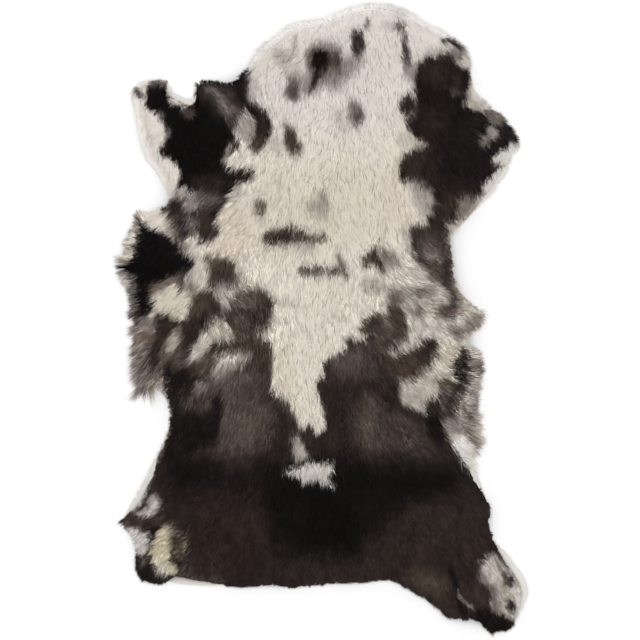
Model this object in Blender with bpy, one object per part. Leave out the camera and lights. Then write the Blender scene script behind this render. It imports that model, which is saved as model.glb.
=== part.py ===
"""A sheepskin laid out flat, wool side up.

One solid: the tanned skin and the wool on it. Its underside is flat and rests on the ground. Its top
is a lumpy pile, and tapered locks of wool stick out around the rim. Units are metres, +Z is up, +Y
points to the neck, and the origin is under the middle of the skin, on the ground.
"""

import math
import random

import bmesh
import bpy
import numpy as np
from mathutils import Matrix, Vector, noise

MM = 0.001

# Skin, and the pile on it. The pile stands RIM_HEIGHT high at the rim and rolls up to its full height
# over ROLL_WIDTH. Where more than LEAST_BARE of skin shows, the rim is only as thick as the skin.
SKIN_THICKNESS = 2.5 * MM
LEAST_BARE = 1.0 * MM
RIM_HEIGHT = 8.0 * MM
ROLL_WIDTH = 34.0 * MM

# The top is two bands of faces inside the rim, and a square grid in the middle.
BAND_WIDTHS = (5.0 * MM, 9.0 * MM)
GRID_PITCH = 16.0 * MM
CURVE_STEPS = 24
MERGE_DISTANCE = 0.01 * MM

# Lumps of the pile, and smaller tufts on them, longer along the back than across it
LUMP_SIZE = 70.0 * MM
LUMP_HEIGHT = 5.0 * MM
TUFT_SIZE = 34.0 * MM
TUFT_HEIGHT = 2.4 * MM
TUFT_STRETCH = (1.25, 0.8)

# Locks at the rim. A spread is the share by which a size varies from lock to lock, and LEAN_SPREAD is
# in degrees. NORMAL_REACH is how many walls on each side even out the way that is straight out.
LOCK_PITCH = 12.0 * MM
PITCH_SPREAD = 0.3
SHORTEST_LOCK = 4.0 * MM
LENGTH_SPREAD = 0.34
LEAN_SPREAD = 16.0
LEAN_SIZE = 42.0 * MM
NORMAL_REACH = 2
TIP_SIZE = 1.4 * MM
LOCK_SECTIONS = (
    # share of the length, share of the root's width, share of the root's height
    (0.38, 0.74, 0.80),
    (0.74, 0.40, 0.46),
)
LOCK_SEED = 41

# The rim, clockwise from the left of the neck. x and y are the edge of the skin in millimetres, bare is
# how much skin shows beyond the wool there, lock is the length of the locks, and sweep is how many
# degrees they turn from straight out towards the tail.
RIM_COLUMNS = ("place", "x", "y", "bare", "lock", "sweep")
RIM = (
    ("neck, left corner", -73, 465, 0, 8, 0),
    ("crown, left", -40, 488, 0, 7, 0),
    ("crown, dip", -2, 491, 0, 7, 0),
    ("crown, rise", 48, 511, 0, 7, 0),
    ("crown, top", 96, 518, 0, 7, 0),
    ("crown, right", 135, 510, 0, 7, 0),
    ("crown, right slope", 174, 487, 0, 8, 0),
    ("neck, right corner", 211, 467, 0, 9, 0),
    ("right shoulder, top", 238, 436, 0, 8, 10),
    ("right shoulder", 248, 380, 0, 8, 20),
    ("right foreleg, root", 266, 352, 0, 10, 20),
    ("right foreleg, front", 301, 329, 0, 11, 20),
    ("right foreleg, tip", 322, 292, 0, 13, 30),
    ("right foreleg, pale edge", 312, 243, 9, 0, 30),
    ("right foreleg, back", 275, 196, 8, 0, 30),
    ("right armpit", 235, 151, 6, 0, 30),
    ("right waist, top", 219, 139, 0, 8, 40),
    ("right waist", 222, 92, 0, 8, 40),
    ("right waist, low", 229, 61, 0, 8, 40),
    ("right flank, shoulder", 250, 33, 6, 0, 40),
    ("right flank, corner", 266, 5, 0, 12, 30),
    ("right flank, dent", 250, -24, 0, 11, 20),
    ("right flank, high", 254, -75, 0, 22, 25),
    ("right flank, middle", 249, -125, 0, 20, 30),
    ("right flank, low", 251, -188, 0, 26, 45),
    ("right flank, last locks", 243, -230, 0, 30, 60),
    ("right web, tip", 258, -261, 14, 0, 40),
    ("right thigh", 282, -311, 0, 5, 30),
    ("right hock", 283, -357, 0, 6, 30),
    ("right hind leg, outer", 309, -394, 5, 0, 30),
    ("right hind foot, outer", 334, -434, 8, 0, 20),
    ("right hind foot, corner", 345, -461, 8, 0, 20),
    ("right hind foot, end", 331, -502, 5, 0, 0),
    ("right hind foot, toe", 300, -520, 0, 9, 0),
    ("right hind foot, sole", 266, -513, 0, 9, 0),
    ("right hind foot, inner", 212, -503, 0, 8, 0),
    ("right hind leg, inner", 192, -480, 0, 6, 0),
    ("right hind leg, fork", 149, -455, 0, 6, 0),
    ("hem, right end", 114, -433, 0, 6, 0),
    ("hem, right", 74, -440, 0, 5, 0),
    ("hem, tail", -1, -442, 0, 5, 0),
    ("hem, left of the tail", -54, -447, 0, 5, 0),
    ("hem, left", -134, -447, 0, 5, 0),
    ("hem, pale edge", -193, -448, 5, 0, 0),
    ("hem, left end", -244, -444, 4, 0, 0),
    ("left hind foot, sole", -283, -440, 0, 6, 0),
    ("left hind foot, toe", -299, -419, 0, 11, 10),
    ("left hind foot, dent", -305, -383, 0, 9, 20),
    ("left hind foot, outer", -323, -340, 0, 15, 20),
    ("left hind foot, top", -312, -320, 0, 10, 30),
    ("left web, low", -287, -264, 10, 0, 30),
    ("left web", -278, -235, 8, 0, 30),
    ("left web, high", -258, -200, 4, 5, 30),
    ("left flank, dent", -253, -162, 7, 0, 30),
    ("left flank, bare", -276, -138, 10, 0, 40),
    ("left flank, last locks", -289, -107, 0, 36, 52),
    ("left flank, low", -298, -55, 0, 28, 38),
    ("left flank, middle", -303, 12, 0, 21, 25),
    ("left flank, high", -311, 62, 0, 22, 25),
    ("left flank, shoulder", -323, 97, 0, 24, 25),
    ("left flank, top", -308, 145, 0, 16, 20),
    ("left armpit", -273, 177, 0, 7, 10),
    ("left armpit, dent", -254, 193, 0, 5, 10),
    ("left foreleg, back", -269, 240, 0, 6, 20),
    ("left foreleg, elbow", -294, 276, 0, 6, 20),
    ("left foreleg, outer", -307, 342, 0, 6, 10),
    ("left foreleg, end", -308, 383, 0, 6, 0),
    ("left foreleg, corner", -268, 392, 0, 5, 0),
    ("left notch, edge", -241, 373, 7, 0, 0),
    ("left notch", -212, 360, 8, 0, 0),
    ("left notch, front", -206, 387, 4, 0, 0),
    ("left neck, low", -150, 396, 0, 6, 0),
    ("left neck, tuft", -118, 415, 0, 8, 0),
    ("left neck", -96, 445, 0, 7, 0),
)

# How high the pile stands over each part of the back. All sizes are millimetres.
PILE_COLUMNS = ("place", "x", "y", "reach", "height")
PILE = (
    ("neck", 60, 430, 110, 27),
    ("withers", 60, 290, 110, 29),
    ("left foreleg", -240, 320, 80, 20),
    ("right foreleg", 250, 300, 80, 20),
    ("left flank", -240, 60, 100, 24),
    ("right flank", 210, -70, 100, 24),
    ("back", -10, 60, 130, 31),
    ("left thigh", -200, -260, 120, 20),
    ("right thigh", 190, -280, 120, 20),
    ("rump", 0, -220, 120, 22),
    ("tail", 0, -400, 90, 18),
    ("left hind foot", -270, -380, 60, 17),
    ("right hind foot", 280, -460, 60, 17),
)

# Soft troughs and ridges in the pile, in millimetres. A rise below zero is a trough.
FOLD_COLUMNS = ("place", "x1", "y1", "x2", "y2", "width", "rise")
FOLDS = (
    ("right hind leg, crease", 168, -398, 232, -488, 15, -8),
    ("right hind foot, crease", 262, -420, 300, -478, 12, -5),
    ("left hind leg, crease", -268, -352, -214, -378, 16, -6),
    ("left foreleg, crease", -232, 336, -196, 262, 18, -5),
    ("neck, parting", -44, 372, 20, 442, 20, -5),
    ("right shoulder, crease", 120, 330, 236, 226, 20, -5),
    ("back, parting", -66, 232, -62, 60, 24, -4),
    ("rump, edge of the long wool", -170, -42, -14, -182, 22, -5),
    ("rump, edge of the long wool, right", -2, -182, 132, -50, 22, -5),
    ("right flank, parting", 178, -92, 226, -176, 18, -6),
    ("left flank, parting", -262, 36, -232, -72, 20, -5),
    ("rump, left swell", -150, -300, -96, -196, 46, 4),
    ("rump, right swell", 130, -310, 92, -200, 46, 4),
)

SKIN_COLOUR = (0.80, 0.76, 0.69, 1.0)
SKIN_ROUGHNESS = 0.9


def rows(columns, table):
    """The rows of a table as dictionaries, by column name."""
    return [dict(zip(columns, row)) for row in table]


def remove_everything():
    for thing in list(bpy.data.objects):
        bpy.data.objects.remove(thing, do_unlink=True)


def catmull_rom(before, start, end, after, share):
    """A point on the smooth curve from start to end, as an array of all columns."""
    return 0.5 * (
        2.0 * start
        + (end - before) * share
        + (2.0 * before - 5.0 * start + 4.0 * end - after) * share**2
        + (3.0 * start - before - 3.0 * end + after) * share**3
    )


def smooth_rim():
    """The rim as a dense closed curve: x, y, bare and lock in metres, and sweep in degrees."""
    knots = [
        np.array([row["x"] * MM, row["y"] * MM, row["bare"] * MM, row["lock"] * MM, row["sweep"]])
        for row in rows(RIM_COLUMNS, RIM)
    ]
    count = len(knots)
    curve = []
    for i, start in enumerate(knots):
        end = knots[(i + 1) % count]
        after = knots[(i + 2) % count]
        for share in np.arange(CURVE_STEPS) / CURVE_STEPS:
            point = catmull_rom(knots[i - 1], start, end, after, share)
            # The sizes run straight from row to row, so that none swings below zero.
            point[2:] = start[2:] * (1.0 - share) + end[2:] * share
            curve.append(point)
    return np.array(curve)


def rim_points(curve, pitch, draw):
    """The rim again, with its points about a pitch apart, as unevenly as locks part."""
    ends = np.vstack([curve, curve[:1]])
    steps = np.linalg.norm(np.diff(ends[:, :2], axis=0), axis=1)
    along = np.concatenate([[0.0], np.cumsum(steps)])
    count = round(along[-1] / pitch)
    gaps = [draw.uniform(1.0 - PITCH_SPREAD, 1.0 + PITCH_SPREAD) for _ in range(count)]
    wanted = np.cumsum(gaps) / sum(gaps) * along[-1]
    return np.column_stack([np.interp(wanted, along, ends[:, k]) for k in range(ends.shape[1])])


class Pile:
    """The height of the top over the ground, from the distance to the rim and the tables."""

    def __init__(self, curve):
        self.curve = curve
        self.places = rows(PILE_COLUMNS, PILE)
        self.folds = rows(FOLD_COLUMNS, FOLDS)

    def full_height(self, x, y):
        weights = []
        heights = []
        for place in self.places:
            far = ((x - place["x"] * MM) ** 2 + (y - place["y"] * MM) ** 2) / (place["reach"] * MM) ** 2
            weights.append(math.exp(-0.5 * far) + 1e-6)
            heights.append(place["height"] * MM)
        return float(np.average(heights, weights=weights))

    def fold_rise(self, x, y):
        rise = 0.0
        point = Vector((x, y))
        for fold in self.folds:
            start = Vector((fold["x1"], fold["y1"])) * MM
            along = Vector((fold["x2"], fold["y2"])) * MM - start
            share = min(max((point - start).dot(along) / along.length_squared, 0.0), 1.0)
            far = (point - start - along * share).length / (fold["width"] * MM)
            rise += fold["rise"] * MM * math.exp(-far * far)
        return rise

    def lumps(self, x, y):
        lump = noise.noise(Vector((x, y, 0.0)) / LUMP_SIZE)
        tuft = noise.noise(Vector((x * TUFT_STRETCH[0], y * TUFT_STRETCH[1], LUMP_SIZE)) / TUFT_SIZE)
        return LUMP_HEIGHT * lump + TUFT_HEIGHT * tuft

    def edge_height(self, bare):
        """Wool stands up at once at the rim, and bare skin is only as thick as it is."""
        return SKIN_THICKNESS if bare > LEAST_BARE else RIM_HEIGHT

    def height(self, x, y):
        gaps = np.hypot(self.curve[:, 0] - x, self.curve[:, 1] - y)
        nearest = int(np.argmin(gaps))
        bare = self.curve[nearest, 2]
        base = self.edge_height(bare)
        inside = min(max((gaps[nearest] - bare) / ROLL_WIDTH, 0.0), 1.0)
        ease = math.sqrt(1.0 - (1.0 - inside) ** 2)
        top = self.full_height(x, y) + self.lumps(x, y) + self.fold_rise(x, y)
        return base + max(top - base, 0.0) * ease


def cut_grid(bm, middle, pitch, low, high):
    """Cut the flat middle of the top into a grid, by planes along X and along Y."""
    for axis in (0, 1):
        normal = Vector((axis == 0, axis == 1, 0.0))
        count = int((high[axis] - low[axis]) / pitch)
        for i in range(1, count + 1):
            place = Vector((0.0, 0.0, 0.0))
            place[axis] = low[axis] + i * pitch
            edges = {edge for face in middle for edge in face.edges}
            verts = {vert for face in middle for vert in face.verts}
            cut = bmesh.ops.bisect_plane(
                bm,
                geom=list(verts) + list(edges) + middle,
                dist=MERGE_DISTANCE,
                plane_co=place,
                plane_no=normal,
            )
            middle = [item for item in cut["geom"] if isinstance(item, bmesh.types.BMFace)]


def slab(rim, pile):
    """The skin and its pile, without locks. Returns the mesh and its outer walls, in the rim's order."""
    bm = bmesh.new()
    bottom = [bm.verts.new((x, y, 0.0)) for x, y in rim[:, :2]]
    bm.faces.new(bottom)
    top = [bm.verts.new((x, y, pile.edge_height(bare))) for x, y, bare in rim[:, :3]]
    top_face = bm.faces.new(top)
    walls = []
    for i in range(len(rim)):
        after = (i + 1) % len(rim)
        walls.append(bm.faces.new((bottom[after], bottom[i], top[i], top[after])))
    for width in BAND_WIDTHS:
        bmesh.ops.inset_region(bm, faces=[top_face], thickness=width, use_even_offset=True)
    cut_grid(bm, [top_face], GRID_PITCH, rim[:, :2].min(axis=0), rim[:, :2].max(axis=0))
    fixed = {vert for wall in walls for vert in wall.verts}
    for vert in bm.verts:
        if vert not in fixed:
            vert.co.z = pile.height(vert.co.x, vert.co.y)
    return bm, walls


def outward_at(walls, i):
    """Straight out of the rim at wall i, evened over its neighbours."""
    total = Vector((0.0, 0.0))
    for k in range(-NORMAL_REACH, NORMAL_REACH + 1):
        total += walls[(i + k) % len(walls)].normal.to_2d()
    return total.normalized()


def lock_direction(outward, sweep):
    """Straight out, turned towards the tail by sweep degrees at most."""
    turn = outward.angle_signed(Vector((0.0, -1.0)))
    angle = -math.copysign(min(abs(turn), math.radians(sweep)), turn)
    direction = outward.copy()
    direction.rotate(Matrix.Rotation(angle, 2))
    return direction


def add_lock(bm, wall, length, direction):
    """Draw one wall face out into a tapered lock that lies on the ground."""
    low = sorted(wall.verts, key=lambda vert: vert.co.z)[:2]
    middle = (low[0].co + low[1].co).to_2d() / 2.0
    half = (low[1].co - low[0].co).to_2d() / 2.0
    height = max(vert.co.z for vert in wall.verts)
    across = direction.orthogonal()
    if across.dot(half) < 0.0:
        across = -across
    # Swept locks are narrower, so that each keeps to its own lane beside its neighbours.
    lane = half.dot(across)
    corners = [
        (math.copysign(1.0, (vert.co.to_2d() - middle).dot(half)), vert.co.z > 0.0) for vert in wall.verts
    ]
    tip = (1.0, TIP_SIZE / (2.0 * lane), TIP_SIZE / height)
    face = wall
    for share, wide, high in (*LOCK_SECTIONS, tip):
        face = bmesh.ops.extrude_discrete_faces(bm, faces=[face])["faces"][0]
        turned = half.lerp(across * lane, share) * wide
        for vert, (side, is_top) in zip(face.verts, corners):
            point = middle + direction * (length * share) + turned * side
            vert.co = Vector((point.x, point.y, height * high if is_top else 0.0))


def add_locks(bm, walls, rim, draw):
    """A lock on each wall face where the rim has wool. Returns how many there are."""
    outward = [outward_at(walls, i) for i in range(len(walls))]
    count = 0
    for i, wall in enumerate(walls):
        after = (i + 1) % len(rim)
        reach = draw.uniform(1.0 - LENGTH_SPREAD, 1.0 + LENGTH_SPREAD)
        length, sweep = (rim[i, 3:] + rim[after, 3:]) / 2.0
        bare = max(rim[i, 2], rim[after, 2])
        if length < SHORTEST_LOCK or bare > LEAST_BARE:
            continue
        # Neighbouring locks lean together, because the lean changes slowly along the rim.
        lean = LEAN_SPREAD * noise.noise(Vector((rim[i, 0], rim[i, 1], 0.0)) / LEAN_SIZE)
        add_lock(bm, wall, length * reach, lock_direction(outward[i], sweep + lean))
        count += 1
    return count


def wool_material():
    material = bpy.data.materials.new("wool_on_skin")
    material.use_nodes = True
    shader = material.node_tree.nodes["Principled BSDF"]
    shader.inputs["Base Color"].default_value = SKIN_COLOUR
    shader.inputs["Roughness"].default_value = SKIN_ROUGHNESS
    shader.inputs["Metallic"].default_value = 0.0
    return material


def main():
    remove_everything()
    draw = random.Random(LOCK_SEED)
    curve = smooth_rim()
    rim = rim_points(curve, LOCK_PITCH, draw)
    bm, walls = slab(rim, Pile(curve))
    bmesh.ops.recalc_face_normals(bm, faces=bm.faces)
    count = add_locks(bm, walls, rim, draw)
    bmesh.ops.remove_doubles(bm, verts=bm.verts, dist=MERGE_DISTANCE)
    bmesh.ops.triangulate(bm, faces=bm.faces)
    mesh = bpy.data.meshes.new("sheepskin")
    bm.to_mesh(mesh)
    bm.free()
    mesh.shade_smooth()
    mesh.set_sharp_from_angle(angle=math.radians(50.0))
    mesh.materials.append(wool_material())
    skin = bpy.data.objects.new("sheepskin", mesh)
    bpy.context.scene.collection.objects.link(skin)
    print("locks:", count, "triangles:", len(mesh.polygons))


main()
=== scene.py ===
import math

import bmesh
import bpy
import numpy as np
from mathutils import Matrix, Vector
from mathutils.bvhtree import BVHTree


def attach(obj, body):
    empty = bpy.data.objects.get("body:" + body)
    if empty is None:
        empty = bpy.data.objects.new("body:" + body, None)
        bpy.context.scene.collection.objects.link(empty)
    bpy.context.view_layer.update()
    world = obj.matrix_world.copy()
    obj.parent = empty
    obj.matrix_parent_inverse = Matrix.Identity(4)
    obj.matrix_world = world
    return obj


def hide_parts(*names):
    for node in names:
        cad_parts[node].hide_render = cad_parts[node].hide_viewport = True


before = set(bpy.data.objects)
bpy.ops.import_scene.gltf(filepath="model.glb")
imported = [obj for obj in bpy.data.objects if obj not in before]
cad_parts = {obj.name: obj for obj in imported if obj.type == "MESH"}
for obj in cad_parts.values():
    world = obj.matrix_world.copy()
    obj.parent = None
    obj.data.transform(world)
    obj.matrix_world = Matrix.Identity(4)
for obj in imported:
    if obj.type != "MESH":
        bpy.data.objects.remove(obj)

bl_info = {
    "name": "Sheepskin",
    "version": (1, 0, 0),
    "blender": (4, 5, 0),
    "location": "3D View > Sidebar > Sheepskin",
    "description": "A piebald sheepskin laid out flat, wool side up",
    "category": "Object",
}

MM = 0.001
NODE = "sheepskin"
BODY = "root"
COAT = "coat"
BAKE_MAP = "OFBake"

# The rim, clockwise from the left of the neck. x and y are the edge of the skin in millimetres, bare is
# how much skin shows beyond the wool there, lock is how far the wool hangs over the edge, and sweep is
# how many degrees it turns from straight out towards the tail.
RIM_COLUMNS = ("place", "x", "y", "bare", "lock", "sweep")
RIM = (
    ("neck, left corner", -71, 463, 0, 8, 0),
    ("crown, left", -39, 486, 0, 7, 0),
    ("crown, dip", -2, 489, 0, 7, 0),
    ("crown, rise", 48, 508, 0, 7, 0),
    ("crown, top", 96, 516, 0, 7, 0),
    ("crown, right", 134, 508, 0, 7, 0),
    ("crown, right slope", 172, 485, 0, 8, 0),
    ("neck, right corner", 209, 466, 0, 8, 0),
    ("right shoulder, top", 234, 446, 0, 7, 10),
    ("right shoulder, corner", 245, 422, 0, 5, 10),
    ("right shoulder", 249, 380, 0, 6, 20),
    ("right foreleg, root", 264, 358, 0, 10, 20),
    ("right foreleg, front", 296, 332, 0, 9, 20),
    ("right foreleg, corner", 317, 307, 0, 8, 20),
    ("right foreleg, tip", 322, 290, 0, 12, 30),
    ("right foreleg, pale edge", 311, 243, 9, 0, 30),
    ("right foreleg, back", 277, 197, 5, 0, 30),
    ("right armpit", 234, 152, 3, 0, 30),
    ("right waist, top", 214, 139, 0, 4, 40),
    ("right waist", 217, 92, 0, 5, 40),
    ("right waist, low", 222, 58, 0, 6, 40),
    ("right flank, shoulder", 242, 32, 5, 0, 40),
    ("right flank, corner", 266, 8, 0, 17, 20),
    ("right flank, dent", 248, -20, 0, 8, 20),
    ("right flank, second dent", 239, -42, 0, 6, 0),
    ("right flank, high", 256, -78, 0, 22, 10),
    ("right flank, middle", 249, -125, 0, 11, 30),
    ("right flank, low", 251, -188, 0, 22, 45),
    ("right flank, last locks", 243, -230, 0, 30, 60),
    ("right web, tip", 259, -261, 8, 0, 40),
    ("right thigh", 278, -311, 0, 4, 30),
    ("right hock", 281, -357, 0, 4, 30),
    ("right hind leg, outer", 311, -395, 12, 0, 30),
    ("right hind foot, outer", 338, -433, 12, 0, 20),
    ("right hind foot, corner", 345, -461, 12, 0, 20),
    ("right hind foot, end", 334, -492, 8, 0, 0),
    ("right hind foot, toe corner", 321, -509, 0, 6, 0),
    ("right hind foot, toe", 300, -518, 0, 8, 0),
    ("right hind foot, heel", 279, -518, 0, 7, 0),
    ("right hind foot, sole", 266, -501, 0, 5, 0),
    ("right hind foot, sole dent", 246, -499, 0, 5, 0),
    ("right hind foot, inner", 216, -496, 0, 6, 0),
    ("right hind leg, inner", 189, -475, 0, 6, 0),
    ("right hind leg, fork", 148, -449, 0, 5, 0),
    ("hem, right end", 113, -434, 0, 4, 0),
    ("hem, right", 78, -438, 0, 4, 0),
    ("hem, tail", -1, -442, 0, 5, 0),
    ("hem, left of the tail", -48, -447, 0, 4, 0),
    ("hem, left, middle", -82, -442, 0, 4, 0),
    ("hem, left", -124, -446, 0, 4, 0),
    ("hem, left, low", -154, -446, 0, 4, 0),
    ("hem, pale edge", -193, -447, 8, 0, 0),
    ("hem, left end", -240, -443, 13, 0, 0),
    ("left hind foot, sole", -258, -440, 0, 4, 0),
    ("left hind foot, sole end", -289, -438, 0, 5, 0),
    ("left hind foot, toe", -303, -417, 0, 6, 10),
    ("left hind foot, dent", -303, -385, 0, 6, 20),
    ("left hind foot, outer", -312, -360, 0, 6, 20),
    ("left hind foot, spike", -326, -337, 0, 13, 10),
    ("left hind foot, top", -321, -322, 5, 0, 20),
    ("left web, end", -312, -304, 13, 0, 30),
    ("left web, low", -290, -266, 10, 0, 30),
    ("left web", -276, -235, 5, 0, 30),
    ("left web, high", -258, -196, 3, 0, 30),
    ("left flank, dent", -252, -158, 3, 0, 30),
    ("left flank, bare", -262, -130, 8, 0, 40),
    ("left flank, bare, top", -280, -116, 8, 0, 40),
    ("left flank, last locks", -292, -102, 0, 40, 64),
    ("left flank, low", -298, -55, 0, 24, 38),
    ("left flank, middle", -303, 12, 0, 18, 25),
    ("left flank, high", -311, 56, 0, 14, 20),
    ("left flank, shoulder", -319, 87, 0, 31, 5),
    ("left flank, below the top", -315, 112, 0, 17, 10),
    ("left flank, top", -306, 145, 0, 10, 20),
    ("left flank, ear", -300, 158, 0, 19, 0),
    ("left armpit", -271, 175, 0, 5, 10),
    ("left armpit, dent", -248, 194, 0, 4, 10),
    ("left foreleg, back", -264, 238, 0, 6, 20),
    ("left foreleg, elbow", -290, 276, 0, 6, 20),
    ("left foreleg, outer", -304, 342, 0, 6, 10),
    ("left foreleg, end", -306, 380, 0, 6, 0),
    ("left foreleg, top", -282, 391, 0, 5, 0),
    ("left foreleg, corner", -257, 391, 0, 3, 0),
    ("left notch, edge", -243, 373, 11, 0, 0),
    ("left notch", -215, 360, 9, 0, 0),
    ("left notch, turn", -208, 371, 0, 4, 0),
    ("left notch, front", -204, 388, 0, 5, 0),
    ("left neck, dip", -182, 389, 0, 5, 0),
    ("left neck, low", -144, 388, 0, 6, 0),
    ("left neck, tuft", -118, 411, 0, 7, 0),
    ("left neck", -96, 445, 0, 7, 0),
)

# How the wool lies. heading is in degrees from +X, so -90 points to the tail. length and loft are
# millimetres, tips is how much paler the hair ends are than the rest, and grizzle is how much light and
# dark hairs are mixed.
LAY_COLUMNS = ("place", "x", "y", "heading", "length", "loft", "tips", "grizzle")
LAY = (
    ("crown, left", -60, 470, -100, 18, 4, 0.0, 0.0),
    ("crown, top", 60, 500, -90, 18, 4, 0.0, 0.0),
    ("crown, right", 150, 490, -80, 18, 4, 0.0, 0.0),
    ("neck", 60, 430, -88, 22, 5, 0.0, 0.0),
    ("neck, left", -60, 420, -110, 22, 5, 0.0, 0.0),
    ("neck, right", 130, 420, -80, 22, 5, 0.0, 0.0),
    ("withers", 50, 320, -90, 24, 5, 0.0, 0.0),
    ("left shoulder, top", -165, 360, -62, 22, 5, 0.0, 0.2),
    ("left shoulder", -200, 290, -95, 20, 4, 0.0, 0.0),
    ("left foreleg", -280, 330, -110, 9, 2, 0.0, 0.0),
    ("left foreleg, back", -255, 245, -110, 9, 2, 0.0, 0.0),
    ("left shoulder, tongue", -140, 215, -140, 26, 5, 0.0, 0.2),
    ("left shoulder, low", -210, 180, -120, 26, 5, 0.1, 0.2),
    ("right shoulder", 200, 370, -80, 18, 4, 0.0, 0.0),
    ("right foreleg", 290, 320, -30, 12, 3, 0.1, 0.2),
    ("right foreleg, pale side", 300, 255, -70, 8, 2, 0.0, 0.0),
    ("right shoulder, low", 210, 220, -70, 22, 5, 0.0, 0.1),
    ("back, left", -110, 200, -110, 26, 5, 0.0, 0.0),
    ("back", 0, 200, -90, 26, 5, 0.0, 0.0),
    ("back, right", 100, 200, -82, 26, 5, 0.0, 0.0),
    ("left flank, top", -300, 150, 160, 24, 5, 0.1, 0.3),
    ("left armpit, white", -275, 155, -120, 12, 3, 0.0, 0.0),
    ("left flank, high", -260, 60, -150, 26, 5, 0.0, 0.0),
    ("left flank, tuft", -246, -45, -125, 28, 5, 0.0, 0.1),
    ("left flank, side", -315, 80, 180, 24, 5, 0.0, 0.3),
    ("left flank, middle", -300, 10, -160, 30, 5, 0.0, 0.3),
    ("left flank, low", -285, -60, -130, 44, 6, 0.1, 0.6),
    ("left flank, last locks", -280, -110, -128, 52, 5, 0.1, 0.6),
    ("left flank, cream", -245, 30, -120, 26, 5, 0.0, 0.0),
    ("left flank, inner", -200, 60, -110, 28, 5, 0.0, 0.1),
    ("left flank, streaks", -160, 30, -60, 30, 5, 0.0, 0.4),
    ("left flank, inner low", -190, -60, -135, 32, 6, 0.0, 0.2),
    ("loin, left", -120, 0, -70, 28, 5, 0.0, 0.3),
    ("right waist", 200, 100, -35, 26, 5, 0.1, 0.3),
    ("right waist, low", 200, 30, -20, 28, 5, 0.0, 0.2),
    ("right flank, corner", 250, 0, -15, 26, 5, 0.1, 0.2),
    ("right flank", 250, -80, -15, 34, 5, 0.1, 0.35),
    ("right flank, low", 245, -150, -25, 36, 5, 0.05, 0.35),
    ("right flank, last locks", 235, -210, -50, 40, 4, 0.05, 0.1),
    ("right side", 150, -20, -60, 28, 5, 0.0, 0.2),
    ("right side, low", 160, -130, -60, 28, 5, 0.0, 0.1),
    ("spine", -20, 60, -90, 26, 5, 0.0, 0.0),
    ("spine, low", -20, -80, -90, 24, 5, 0.0, 0.0),
    ("rump, left", -150, -160, -115, 24, 4, 0.0, 0.2),
    ("rump, right", 110, -160, -60, 24, 4, 0.0, 0.25),
    ("rump", -10, -250, -90, 20, 4, 0.0, 0.0),
    ("left thigh", -220, -260, -115, 18, 3, 0.0, 0.1),
    ("right thigh", 200, -280, -60, 18, 3, 0.0, 0.1),
    ("left hind foot", -270, -360, -150, 18, 4, 0.0, 0.2),
    ("left hind foot, low", -270, -410, -110, 18, 4, 0.1, 0.2),
    ("right hind foot", 290, -440, -50, 16, 4, 0.0, 0.2),
    ("right hind foot, end", 290, -500, -75, 15, 4, 0.0, 0.1),
    ("hem, left", -130, -400, -95, 18, 3, 0.0, 0.1),
    ("hem", 0, -400, -90, 16, 3, 0.0, 0.1),
    ("hem, right", 120, -400, -80, 16, 3, 0.0, 0.1),
    ("right hind leg, inner", 190, -440, -70, 16, 3, 0.0, 0.1),
)

# Tones of the coat, as they look in daylight, from 0 to 255
TONES = {
    "snow": (243, 240, 236),
    "white": (224, 217, 210),
    "cool": (218, 212, 206),
    "ivory": (226, 217, 205),
    "cream": (214, 204, 187),
    "sand": (214, 201, 184),
    "pearl": (190, 181, 170),
    "straw": (202, 191, 166),
    "silver": (166, 158, 151),
    "ash": (134, 124, 116),
    "mauve": (112, 101, 96),
    "smoke": (94, 83, 76),
    "umber": (86, 72, 61),
    "bark": (64, 53, 46),
    "olive": (72, 64, 46),
    "sable": (46, 38, 35),
    "russet": (46, 35, 32),
    "soot": (26, 21, 20),
    "coal": (15, 12, 12),
}
BASE_TONE = "ivory"

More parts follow.
